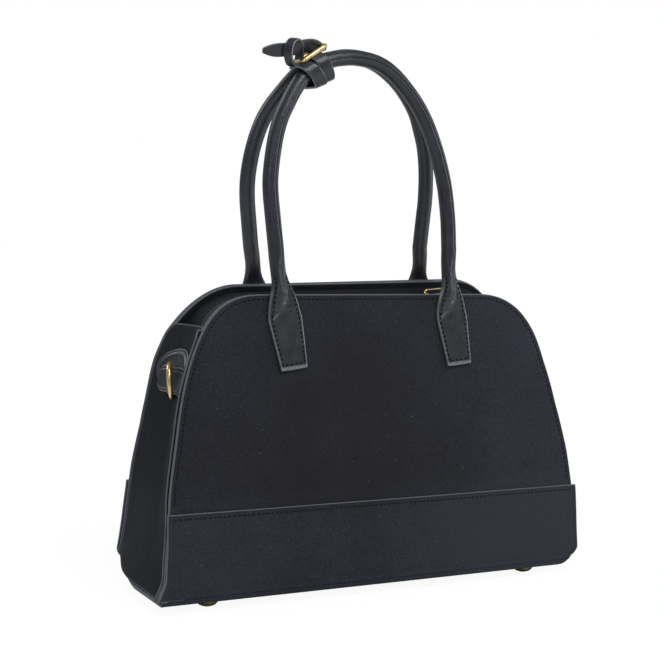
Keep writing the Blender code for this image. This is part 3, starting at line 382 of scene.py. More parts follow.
def capped(grid: Array, start: Array | None = None, end: Array | None = None) -> Surface:
    """Close a tube-like grid with a point at each end.

    Args:
        grid: Rows of rings of points.
        start: The point that the first ring runs to, or None for the ring's middle.
        end: The same for the last ring.

    Returns:
        The closed mesh.
    """
    rows, columns = grid.shape[:2]
    start = grid[0].mean(axis=0) if start is None else start
    end = grid[-1].mean(axis=0) if end is None else end
    j = np.arange(columns)
    k, base = (j + 1) % columns, (rows - 1) * columns
    first, last = (np.full(columns, rows * columns + n) for n in (0, 1))
    fans = [np.column_stack((k, j, first, first)), np.column_stack((base + j, base + k, last, last))]
    faces = np.vstack((grid_faces(rows, columns, around=True), *fans))
    return Surface(np.vstack((grid.reshape(-1, 3), start, end)), faces)


# One line round a plate's edge: how far in it is, how far below the face, and how painted.
EdgeRow = tuple[float, float, float]


def round_edge(thickness: float, groove: float, face: float = 0.0060) -> list[EdgeRow]:
    """The lines round a leather edge: over its face, the stitches' groove, the rounded painted edge, the back.

    The rounding is inset = r (1 - cos a) and depth = r (1 - sin a), with r = 0.32 of the thickness.

    Args:
        thickness: The leather's thickness.
        groove: How far in the stitches are.
        face: How far in the outermost flat line is.

    Returns:
        The lines, from the face over the edge to the back.
    """
    dips = ((0.0012, 0.0), (0.0006, 0.00014), (0.0, 0.00026), (-0.0006, 0.00014), (-0.0012, 0.0))
    pressed = [(groove + shift, depth, 0.0) for shift, depth in dips]
    radius = 0.32 * thickness
    before = radius + 0.0004

    def turn(degrees: float, paint: float, back: bool = False) -> EdgeRow:
        """One line of the rounding, over the face or over the back.

        Args:
            degrees: How far round, from 0 at the edge to 90 where the rounding ends.
            paint: How painted the line is.
            back: Whether it is over the back.

        Returns:
            The line.
        """
        angle = math.radians(degrees)
        depth = radius * (1 - math.sin(angle))
        return radius * (1 - math.cos(angle)), thickness - depth if back else depth, paint

    return [
        (face, 0.0, 0.0), *pressed, (before, -0.00004, 0.0), turn(90, 0.25), turn(60, 1.0), turn(30, 1.0),
        turn(0, 1.0), (-0.0001, thickness / 2, 1.0), turn(0, 1.0, True), turn(45, 1.0, True), turn(90, 0.25, True),
        (before, thickness, 0.0), (face, thickness, 0.0),
    ]


def plate(
    outline: Callable[[float], Array], edge: Sequence[EdgeRow], place: Callable[[Array, Array], Array], rings: int
) -> Surface:
    """A closed sheet of leather over an outline.

    From the innermost lines, rings shrink to the middle: ring = line (1 - t) + middle t.

    Args:
        outline: Gives the closed outline moved inwards by an amount, in two coordinates and turning left.
        edge: The lines round its edge.
        place: Turns two coordinates and a depth below the face into points.
        rings: How many rings lead to the middle on each face.

    Returns:
        The closed mesh with its paint mask.
    """
    insets, depths, paints = zip(*edge)
    lines = [outline(inset) for inset in insets]
    middle = (lines[0].max(axis=0) + lines[0].min(axis=0)) / 2
    shares = (1 - np.linspace(0.0, 1.0, rings + 1)[1:-1] ** 0.8)[::-1]
    front = [middle + (lines[0] - middle) * share for share in shares]
    back = [middle + (lines[-1] - middle) * share for share in shares[::-1]]
    flat = np.stack((*front, *lines, *back))
    depth = np.pad(depths, rings - 1, mode="edge")
    grid = place(flat, np.broadcast_to(depth[:, None], flat.shape[:2]))
    made = capped(grid, *(place(middle[None, :], np.array([d]))[0] for d in (depths[0], depths[-1])))
    made.masks["paint"] = np.append(np.repeat(np.pad(paints, rings - 1), flat.shape[1]), (0.0, 0.0))
    return made


def leather_sheet(grid: Array, thickness: float, towards: Sequence[float]) -> Surface:
    """A sheet with a thickness and rounded edges, from one face's grid.

    The other face is the grid plus the thickness times its normal. Between their borders run three lines that
    swell outwards by 0.3 of the thickness times sin(pi t).

    Args:
        grid: Rows and columns of points on one face.
        thickness: How thick the sheet is.
        towards: The side that the thickness goes to.

    Returns:
        The closed mesh with its paint mask.
    """
    rows, columns = grid.shape[:2]
    normal = unit(np.cross(np.gradient(grid, axis=0), np.gradient(grid, axis=1)))
    if np.dot(normal[rows // 2, columns // 2], np.asarray(towards)) < 0:
        normal = -normal
    near, far = grid.reshape(-1, 3), (grid + normal * thickness).reshape(-1, 3)

    def border(numbers: Array) -> Array:
        """The outermost values of a grid, one after the other."""
        return np.concatenate((numbers[0], numbers[1:, -1], numbers[-1, -2::-1], numbers[-2:0:-1, 0]))

    count = rows * columns
    numbers = np.arange(count).reshape(rows, columns)
    ring, inner = border(numbers), border(np.pad(numbers[1:-1, 1:-1], 1, mode="edge"))
    out = unit(near[ring] - near[inner]) * 0.3 * thickness
    lines = [near[ring] * (1 - t) + far[ring] * t + out * math.sin(math.pi * t) for t in (0.2, 0.5, 0.8)]
    edge = len(ring)
    loops = [ring, *(2 * count + edge * k + np.arange(edge) for k in range(3)), ring + count]
    faces = [grid_faces(rows, columns), grid_faces(rows, columns)[:, ::-1] + count]
    for lower, upper in zip(loops, loops[1:]):
        faces.append(np.column_stack((np.roll(lower, -1), lower, upper, np.roll(upper, -1))))
    points = np.vstack((near, far, *lines))
    paint = np.zeros(len(points))
    paint[ring] = paint[ring + count] = 0.6
    paint[2 * count:] = 1.0
    return Surface(points, np.vstack(faces), {"paint": paint})


def sweep(route: Array, across: Array, up: Array, section: Array, closed: bool = False) -> Surface:
    """A section carried along a route: point = route + across x + up y.

    Args:
        route: The points that the section follows.
        across: The section's first direction at each point.
        up: Its second direction at each point.
        section: The section's points, the same all along or one set for each point of the route.
        closed: Whether the route runs back to its start.

    Returns:
        The closed mesh, with both ends capped where the route is open.
    """
    shapes = np.broadcast_to(section, (len(route), *section.shape[-2:]))
    grid = route[:, None] + across[:, None] * shapes[..., :1] + up[:, None] * shapes[..., 1:]
    if closed:
        return Surface(grid.reshape(-1, 3), grid_faces(*grid.shape[:2], around=True, closed=True))
    return capped(grid)


def wire(route: Array, start: Array, radius: float, count: int, closed: bool = True) -> Surface:
    """A round wire. Its directions turn as little as they can: each is the last one less its part along the route.

    Args:
        route: The wire's middle line.
        start: Roughly the first direction across it.
        radius: The wire's radius.
        count: How many points go round it.
        closed: Whether the route runs back to its start.

    Returns:
        The closed mesh.
    """
    ahead = tangents(route, closed)
    across = [np.asarray(start, float)]
    for direction in ahead:
        across.append(square_to(across[-1], direction))
    section = radius * np.column_stack((np.cos(turns(count)), np.sin(turns(count))))
    return sweep(route, np.array(across[1:]), np.cross(ahead, across[1:]), section, closed)


def lathe(profile: Sequence[tuple[float, float]], centre: Sequence[float], count: int = 48) -> Surface:
    """A turned shape: each profile point (r, z) goes round as (r cos a, r sin a, z).

    Args:
        profile: The points from the bottom of the axis to its top, with both ends on the axis.
        centre: Where the axis meets the floor.
        count: How many points go round.

    Returns:
        The closed mesh.
    """
    r, z = np.array(profile).T[..., None]
    grid = np.stack((r * np.cos(turns(count)), r * np.sin(turns(count)), np.repeat(z, count, axis=1)), axis=-1)
    grid = grid + np.asarray(centre)
    return capped(grid[1:-1], grid[0, 0], grid[-1, 0])


@dataclass(frozen=True)
class Stitch:
    """The size of one stitch and how far apart they are."""

    length: float = 0.0023
    width: float = 0.00075
    pitch: float = 0.0033
    sink: float = 0.00024

    def run(self, route: Array, normals: Array) -> Surface:
        """Lay stitches along a route: each is a small ellipsoid, dipping at its ends.

        At angles t along and p around it, a point is half the length times cos t ahead, half the width times
        sin t cos p to the side, and half the width times sin t sin p less the sink times cos^2 t outwards.

        Args:
            route: Points on the leather's face.
            normals: The face's outward direction at each point.

        Returns:
            All the stitches.
        """
        run = along(route)
        count = max(int(run[-1] / self.pitch), 1)
        spots = (np.arange(count) + 0.5) * run[-1] / count
        place, ahead, out = (looked_up(spots, run, source) for source in (route, tangents(route), normals))
        ahead, out = unit(ahead), unit(out)
        basis = np.stack((ahead, np.cross(out, ahead), out), axis=1)
        t, p = np.linspace(0.0, math.pi, 7)[:, None], turns(6)
        body = np.stack(np.broadcast_arrays(
            np.cos(t) * self.length / 2, np.sin(t) * np.cos(p) * self.width / 2,
            np.sin(t) * np.sin(p) * self.width / 2 - self.sink * np.cos(t) ** 2,
        ), axis=-1)
        grids = place[:, None, None] + np.einsum("rcj,sjk->srck", body, basis)
        return joined([capped(grid[1:-1], grid[0, 0], grid[-1, 0]) for grid in grids])


# Shader expressions


class Wire:
    """A shader value. Arithmetic on it adds Math nodes to its graph."""

    def __init__(self, graph: "Graph", socket: bpy.types.NodeSocket) -> None:
        """Wrap an output socket of a graph."""
        self.graph = graph
        self.socket = socket

    def _math(self, operation: str, first: Value, second: Value) -> "Wire":
        """One Math node on two values."""
        return self.graph.node("Math", {0: first, 1: second}, operation=operation)

    def __add__(self, other: Value) -> "Wire":
        """This plus the other."""
        return self._math("ADD", self, other)

    def __radd__(self, other: Value) -> "Wire":
        """The other plus this."""
        return self._math("ADD", other, self)

    def __sub__(self, other: Value) -> "Wire":
        """This less the other."""
        return self._math("SUBTRACT", self, other)

    def __rsub__(self, other: Value) -> "Wire":
        """The other less this."""
        return self._math("SUBTRACT", other, self)

    def __mul__(self, other: Value) -> "Wire":
        """This times the other."""
        return self._math("MULTIPLY", self, other)

    def __rmul__(self, other: Value) -> "Wire":
        """The other times this."""
        return self._math("MULTIPLY", other, self)

    def __pow__(self, other: Value) -> "Wire":
        """This to the power of the other."""
        return self._math("POWER", self, other)

    def step(self, low: float, high: float) -> "Wire":
        """0 up to low, 1 from high and smooth between them."""
        sockets = {0: self, 1: low, 2: high, 3: 0.0, 4: 1.0}
        return self.graph.node("MapRange", sockets, interpolation_type="SMOOTHSTEP", clamp=True)


class Graph:
    """The nodes of one material or of the world."""

    def __init__(self, owner: bpy.types.Material | bpy.types.World) -> None:
        """Start a material or a world with no nodes.

        Args:
            owner: The material or the world.
        """
        owner.use_nodes = True
        self.owner = owner
        self.tree = owner.node_tree
        self.tree.nodes.clear()

    def node(self, kind: str, sockets: dict[int | str, Value], output: int | str = 0, **settings: object) -> Wire:
        """Add a node.

        Args:
            kind: The node's type, without the word Shader Node.
            sockets: The values or wires of its sockets.
            output: The output that is wanted.
            settings: The node's own settings, which are set before its sockets.

        Returns:
            That output.
        """
        made = self.tree.nodes.new(f"ShaderNode{kind}")
        for name, value in settings.items():
            setattr(made, name, value)
        for key, value in sockets.items():
            if isinstance(value, Wire):
                self.tree.links.new(value.socket, made.inputs[key])
            else:
                made.inputs[key].default_value = value
        return Wire(self, made.outputs[output])

    def show(self, shader: Wire) -> None:
        """Make a shader what the material or the world looks like.

        Args:
            shader: The shader's output.
        """
        kind = "World" if isinstance(self.owner, bpy.types.World) else "Material"
        end = self.tree.nodes.new(f"ShaderNodeOutput{kind}")
        self.tree.links.new(shader.socket, end.inputs[0])

    def place(self) -> Wire:
        """Where the point is, in the bag's frame."""
        return self.node("TexCoord", {}, "Object")

    def axis(self, name: str) -> Wire:
        """One coordinate of the point: X, Y or Z."""
        return self.node("SeparateXYZ", {0: self.place()}, name)

    def mask(self, name: str) -> Wire:
        """A piece's own value at each point."""
        return self.node("Attribute", {}, "Fac", attribute_name=name)

    def noise(self, size: float, detail: float = 2.0, stretch: Colour = (1.0, 1.0, 1.0)) -> Wire:
        """Cloudy noise around 0.5, by the size of its clouds, how many finer layers it has and how it is squeezed."""
        spot = self.node("Mapping", {0: self.place(), "Scale": stretch}, vector_type="POINT")
        return self.node("TexNoise", {"Vector": spot, "Scale": 1 / size, "Detail": detail})

    def cells(self, size: float, feature: str = "F1") -> Wire:
        """How far the nearest cell's middle is, for cells of this size."""
        return self.node("TexVoronoi", {"Vector": self.place(), "Scale": 1 / size}, feature=feature)

    def bands(self, way: str, scale: float, distortion: float = 0.0) -> Wire:
        """Even waves across a direction."""
        sockets = {"Vector": self.place(), "Scale": scale, "Distortion": distortion}
        return self.node("TexWave", sockets, 1, wave_type="BANDS", bands_direction=way)

    def mix(self, share: Value, first: Value, second: Value) -> Wire:
        """The first colour turning into the second by a share."""
        return self.node("Mix", {0: share, 6: first, 7: second}, 2, data_type="RGBA")

    def principled(self, sockets: dict[str, Value]) -> Wire:
        """The usual surface shader."""
        return self.node("BsdfPrincipled", sockets)

    def blend(self, share: Value, first: Wire, second: Wire) -> Wire:
        """The first shader turning into the second by a share."""
        return self.node("MixShader", {0: share, 1: first, 2: second})

    def finish(
        self, colour: Value, roughness: Value, height: Value, rise: float, constants: dict[str, float]
    ) -> bpy.types.Material:
        """Wire up a material's shader.

        Args:
            colour: The base colour.
            roughness: The roughness.
            height: The relief that the bump reads.
            rise: How high the relief stands, in metres.
            constants: Sockets that are the same all over.

        Returns:
            The material.
        """
        bump = self.node("Bump", {"Strength": 1.0, "Distance": rise, "Height": height})
        self.show(self.principled({"Base Color": colour, "Roughness": roughness, "Normal": bump, **constants}))
        return self.owner


def shade(colour: Colour) -> tuple[float, float, float, float]:
    """A colour from its display values of 0 to 255: ((v / 255 + 0.055) / 1.055)^2.4 in each channel."""
    return (*(((max(v, 10.4) / 255 + 0.055) / 1.055) ** 2.4 for v in colour), 1.0)


# Finishes. Their colours are display values of 0 to 255.


@dataclass(frozen=True)
class Nubuck:
    """Black leather, brushed and napped: matt, a little mottled, paler and bluer in places, with stray lint, and with
    painted light and painted shade in its colour.
    """

    dark: Colour = (27, 26, 31)
    open_nap: Colour = (44, 48, 54)
    shut_nap: Colour = (13, 14, 18)
    painted_edge: Colour = (96, 98, 104)
    lint: Colour = (150, 148, 146)
    roughness: float = 0.86

    def build(self) -> bpy.types.Material:
        """Make the material.

        Its colour turns from dark to the paler tone by soft clouds, fine noise and a painted light that lightens it
        towards the ends, the foot and the rim; at the right end and the rim it stands in for the light falling there.

        Returns:
            The material.
        """
        g = Graph(bpy.data.materials.new("black_nubuck"))
        clouds, fine = g.noise(0.055, 3.0), g.noise(0.0011, 3.0)
        # Painted light: lighter towards the right end and the rim, where the light falls, and also towards the left end
        # and the foot.
        low, high = 1 - g.axis("Z").step(0.050, 0.075), g.axis("Z").step(0.120, 0.195)
        ends = g.axis("X").step(-0.04, 0.16) * 0.46 + (1 - g.axis("X").step(-0.14, -0.05)) * 0.14
        painted_light_drift = ends + low * 0.32 + high * 0.16
        nap_and_painted_light = (clouds - 0.5) * 0.6 + painted_light_drift + (fine - 0.5) * 1.5 + 0.16
        colour = g.mix(nap_and_painted_light.step(0.0, 1.0), shade(self.dark), shade(self.open_nap))
        pores = 1 - g.cells(0.0022).step(0.0, 0.35)
        colour = g.mix(pores * 0.30, colour, shade(self.shut_nap))
        # Painted shade: the leather is darkened where a piece's mask marks creases and recesses that lie in shade.
        colour = g.mix(g.mask("shut") * 0.85, colour, shade(self.shut_nap))
        specks = 1 - g.cells(0.0060).step(0.030, 0.060)
        sparse = g.noise(0.012, 0.0).step(0.52, 0.60)
        colour = g.mix(specks * sparse * 0.45, colour, shade(self.lint))
        paint = g.mask("paint").step(0.2, 0.7)
        worn = paint * (g.noise(0.004) * 0.4 + 0.7)
        colour = g.mix(worn, colour, shade(self.painted_edge))
        relief = fine * 0.6 + g.noise(0.0004) * 0.4 + g.noise(0.006) * 0.8
        return g.finish(
            colour, self.roughness - paint * 0.38 + (fine - 0.5) * 0.12, relief * (1 - paint * 0.8), 0.00040,
            {"Specular IOR Level": 0.17, "Sheen Weight": 0.04, "Sheen Roughness": 0.5},
        )


@dataclass(frozen=True)
class SmoothLeather:
    """Black smooth leather: fine pebbled grain, soft gloss, rubbed a little paler, with a painted edge and painted
    shade in its creases and grooves.
    """

    dark: Colour = (18, 18, 21)
    rubbed: Colour = (38, 42, 50)
    hollow: Colour = (8, 8, 9)
    painted_edge: Colour = (112, 114, 118)
    roughness: float = 0.33

    def build(self) -> bpy.types.Material:
        """Make the material. Its grain = 1 - the smooth distance to the middles of pebbles 0.9 mm wide.

        Returns:
            The material.
        """
        g = Graph(bpy.data.materials.new("black_smooth_leather"))
        grain, soft, clouds = g.cells(0.0009, "SMOOTH_F1"), g.noise(0.006, 3.0), g.noise(0.03)
        colour = g.mix((clouds * 0.7 + soft * 0.5 - 0.15).step(0.1, 0.8), shade(self.dark), shade(self.rubbed))
        # Painted shade: near-black where a piece's mask marks the creases and grooves that lie in shade.
        colour = g.mix(g.mask("shut") * 0.85, colour, shade(self.hollow))
        paint = g.mask("paint").step(0.2, 0.8)
        colour = g.mix(paint * (g.noise(0.003) * 0.5 + 0.55), colour, shade(self.painted_edge))
        relief = (1 - grain) * 0.5 + soft * 0.7 + g.noise(0.0004) * 0.15
        return g.finish(
            colour, self.roughness + (soft - 0.5) * 0.25 - paint * 0.08, relief * (1 - paint * 0.7), 0.00016,
            {"Specular IOR Level": 0.52},
        )


@dataclass(frozen=True)
class PaleGold:
    """Pale gold plate on cast metal, with faint handling marks and duller spots."""

    name: str = "pale_gold"
    bright: Colour = (238, 214, 158)
    dull: Colour = (208, 180, 124)
    roughness: float = 0.22

    def build(self) -> bpy.types.Material:
        """Make the material. Its roughness = the plate's own plus clouds and fine scuffs.

        Returns:
            The material.
        """
        g = Graph(bpy.data.materials.new(self.name))
        clouds, scuffs = g.noise(0.008, 3.0), g.noise(0.0005, 2.0, (1.0, 1.0, 0.2))
        colour = g.mix(clouds.step(0.35, 0.7), shade(self.bright), shade(self.dull))
        roughness = self.roughness + (clouds - 0.4) * 0.18 + (scuffs - 0.5) * 0.10
        return g.finish(colour, roughness, scuffs * 0.3 + clouds, 0.00003, {"Metallic": 1.0})


@dataclass(frozen=True)
class Thread:
    """Black twisted sewing thread."""

    dark: Colour = (8, 8, 9)
    light: Colour = (20, 20, 22)

    def build(self) -> bpy.types.Material:
        """Make the material. The twist is a fine slanting wave.

        Returns:
            The material.
        """
        g = Graph(bpy.data.materials.new("black_thread"))
        twist = g.bands("DIAGONAL", 900.0, 0.5)
        colour = g.mix(twist, shade(self.dark), shade(self.light))
        return g.finish(colour, 0.8 + (g.noise(0.002) - 0.5) * 0.2, twist, 0.00010, {"Specular IOR Level": 0.1})


@dataclass(frozen=True)
class WovenTape:
    """The zip's black tape: a fine ribbed weave."""

    dark: Colour = (15, 15, 17)
    light: Colour = (38, 38, 42)

    def build(self) -> bpy.types.Material:
        """Make the material. Weave = ribs along X times picks along Y.

        Returns:
            The material.
        """
        g = Graph(bpy.data.materials.new("black_woven_tape"))
        weave = g.bands("X", 520.0) * g.bands("Y", 430.0)
        colour = g.mix(weave * 0.8 + g.noise(0.001) * 0.2, shade(self.dark), shade(self.light))
        return g.finish(colour, 0.85 - weave * 0.1, weave, 0.00012, {"Specular IOR Level": 0.25})


@dataclass(frozen=True)
class Board:
    """The stiffening board inside the base: grey-brown pressed fibre."""

    dark: Colour = (82, 77, 71)
    light: Colour = (120, 113, 104)

    def build(self) -> bpy.types.Material:
        """Make the material. Its colour follows flecks stretched along X.

        Returns:
            The material.
        """
        g = Graph(bpy.data.materials.new("pressed_board"))
        flecks = g.noise(0.002, 4.0, (0.3, 1.0, 1.0))
        colour = g.mix(flecks.step(0.35, 0.65), shade(self.dark), shade(self.light))
        return g.finish(colour, 0.9 - flecks * 0.1, flecks, 0.0001, {"Specular IOR Level": 0.3})


class Finishes:
    """One material of each kind, shared by the pieces."""

    def __init__(self) -> None:
        """Make them all."""
        self.nubuck = Nubuck().build()
        self.leather = SmoothLeather().build()
        self.gold = PaleGold().build()
        # The feet's gold is darker and duller: painted shade, for the shade they sit in under the bag.
        self.worn_gold = PaleGold("worn_gold", (168, 148, 120), (118, 100, 80), 0.34).build()
        self.thread = Thread().build()
        self.tape = WovenTape().build()
        self.board = Board().build()


# The bag's own shape


@dataclass(frozen=True)
class Form:
    """The outline of the panels, and how the soft leather has settled away from it.

    The pairs are heights with the way out there. Each foot_flare is a way out and the heights that it fades between.
    """

    side_pulls: tuple[float, float] = (0.28, 0.23)
    corner_pulls: tuple[float, float] = (0.117, 0.128)
    shoulder_lean: float = 0.45
    crease_shares: Pairs = (
        (0.0, 0.0), (0.15, 0.5), (0.35, 0.9), (0.62, 1.0), (0.74, 0.8), (0.84, 0.45), (1.0, 0.12),
    )
    front_rim_drop: float = 0.0025
    back_rim_lift: tuple[float, float] = (0.0020, 0.0060)
    rear_edge: Pairs = (
        (0.010, 0.0018), (0.060, 0.0018), (0.078, 0.0014), (0.105, 0.0020), (0.122, 0.0009), (0.150, -0.0031),
        (0.168, -0.0041), (0.186, -0.0018), (0.198, 0.0),
    )
    foot_flare: tuple[tuple[float, float, float], ...] = (
        (0.0028, 0.062, 0.112), (0.0014, 0.020, 0.045), (0.0050, 0.003, 0.024), (0.0020, 0.006, 0.022),
    )
    right_edge: Pairs = (
        (0.006, -0.0020), (0.030, -0.0008), (0.058, 0.0016), (0.085, 0.0014), (0.118, -0.0009), (0.148, -0.0010),
        (0.168, 0.0006), (0.186, 0.0008), (0.198, 0.0002),
    )
    rear_lift: float = 0.0030
    right_lift: float = 0.0060
    bulge: float = 0.0010

    def edge_in(self, amount: float) -> Array:
        """The panels' right edge as X and distance up the slope, moved inwards by an amount.

        It is two Beziers, foot to shoulder and shoulder to rim, and the pulls are their handles' lengths as shares
        of the slope.

        Args:
            amount: How far inwards, in metres.

        Returns:
            X and the distance up the slope of each point, from the foot to the rim.
        """
        s = SIZES
        foot, rim = np.array((s.base_half_width, 0.0)), np.array((s.rim_half_width, s.slant))
        shoulder = np.array((s.shoulder_half_width, s.shoulder_share * s.slant))
        ahead = unit(np.array((-self.shoulder_lean, 1.0)))
        (low, high), (below, above) = np.array((self.side_pulls, self.corner_pulls)) * s.slant
        side = bezier(foot, foot + (0.0, low), shoulder - ahead * high, shoulder)
        corner = bezier(shoulder, shoulder + ahead * below, rim + (above, 0.0), rim)
        return moved_in(np.vstack((side, corner[1:])), amount, closed=False)

    def reach(self, height: Array | float, amount: float = 0.0) -> Array:
        """The half width at a distance up the slope, of the edge moved inwards by an amount."""
        edge = self.edge_in(amount)
        return np.interp(height, edge[:, 1], edge[:, 0])

    def crease(self, height: Array) -> Array:
        """How far a gusset's middle is drawn in at a distance up the slope: the shares, softened over 7 of 60.

        Args:
            height: The distances up the slope.

        Returns:
            How far it is drawn in at each, in metres.
        """
        fine = np.linspace(0.0, 1.0, 60)
        rough = np.pad(np.interp(fine, *zip(*self.crease_shares)), 3, mode="edge")
        softened = np.convolve(rough, np.full(7, 1 / 7), mode="valid")
        return SIZES.crease * np.interp(height / (SIZES.gusset_top_share * SIZES.slant), fine, softened)

    def lean_over(self, height: Array, lift: Array | float) -> tuple[Array, Array]:
        """A panel's Y and Z: y = depth / 2 - h sin lean + lift cos lean, z = foot + h cos lean + lift sin lean.

        Args:
            height: The distances up the slope, h.
            lift: How far out of the panel's outer face each point is.

        Returns:
            Y, back of the middle, and Z of each point.
        """
        s = SIZES
        sine, cosine = math.sin(s.lean), math.cos(s.lean)
        return s.base_depth / 2 - height * sine + lift * cosine, s.foot_height + height * cosine + lift * sine

    def seat(self, height: Array) -> tuple[Array, Array]:
        """The Y, back of the middle, and Z of the face on a panel's inner side, at a distance up the slope."""
        return self.lean_over(height, -SIZES.panel - SIZES.seat_gap)

    def on_panel(self, flat: Array, lift: Array | float, side: Side) -> Array:
        """Points over a panel's outer face, settled as the leather is.

        Args:
            flat: X and the distance up the slope, in the last axis.
            lift: How far out of the face each point is.
            side: Which panel.

        Returns:
            The points.
        """
        y, z = self.lean_over(flat[..., 1], lift)
        return self.settled(np.stack((flat[..., 0], side.value * y, z), axis=-1))

    def settled(self, points: Array) -> Array:
        """Move points as the soft leather has sunk, swelled and pulled in. Nothing moves at the zip or the feet.

        The rim drops at the front and rises at the back towards the right. The side edges lean in and out along
        their height, by rear_edge at the back left and right_edge at the right. The left end flares at its foot, and
        the other foot corners are drawn up. The panels swell by bulge times a window in x and z times slow waves.

        Args:
            points: The points, in the last axis.

        Returns:
            The moved points.
        """
        s = SIZES
        x, y, z = (points[..., k] for k in range(3))
        wide = np.abs(x)
        moved = points.copy()
        front, back = smooth(0.006, 0.016, -y), smooth(0.006, 0.016, y)
        near_rim = smooth(0.150, 0.190, z) * fade(0.197, 0.226, z) * fade(0.085, 0.135, wide)
        low, high = self.back_rim_lift
        rise = low + (high - low) * np.clip((x + s.rim_half_width) / (2 * s.rim_half_width), 0.0, 1.0)
        moved[..., 2] += near_rim * (back * rise - front * self.front_rim_drop)
        end = smooth(0.070, 0.122, wide)
        behind = smooth(0.004, 0.044 - 0.020 * smooth(0.120, 0.152, z), y)
        pull = np.interp(z, *zip(*self.rear_edge)) * end * (x < 0) * behind
        push = np.interp(z, *zip(*self.right_edge)) * end * (x > 0)
        flare = sum(out * fade(low, high, z) for out, low, high in self.foot_flare)
        at_front, at_foot = smooth(-0.005, 0.050, -y), 1 - 0.9 * smooth(0.026, 0.060, y)
        share = at_front + (at_foot - at_front) * fade(0.012, 0.042, z)
        moved[..., 0] += pull + push - flare * smooth(0.095, 0.150, -x) * share
        rear_corner = fade(0.010, 0.030, z) * smooth(0.125, 0.152, -x) * smooth(0.0, 0.054, y)
        right_corner = fade(0.005, 0.022, z) * smooth(0.137, 0.155, x) ** 1.5
        moved[..., 2] += self.rear_lift * rear_corner + self.right_lift * right_corner
        window = fade(0.110, 0.150, wide) * smooth(0.012, 0.060, z) * fade(0.150, 0.192, z)
        waves = 0.55 + 0.25 * np.sin(x * 31 + z * 17 + 0.6) + 0.20 * np.sin(x * 53 - z * 39 + 2.1)
        outward = np.sign(y) * smooth(0.012, 0.022, np.abs(y))
        moved[..., 1] += outward * self.bulge * window * waves
        return moved


FORM = Form()


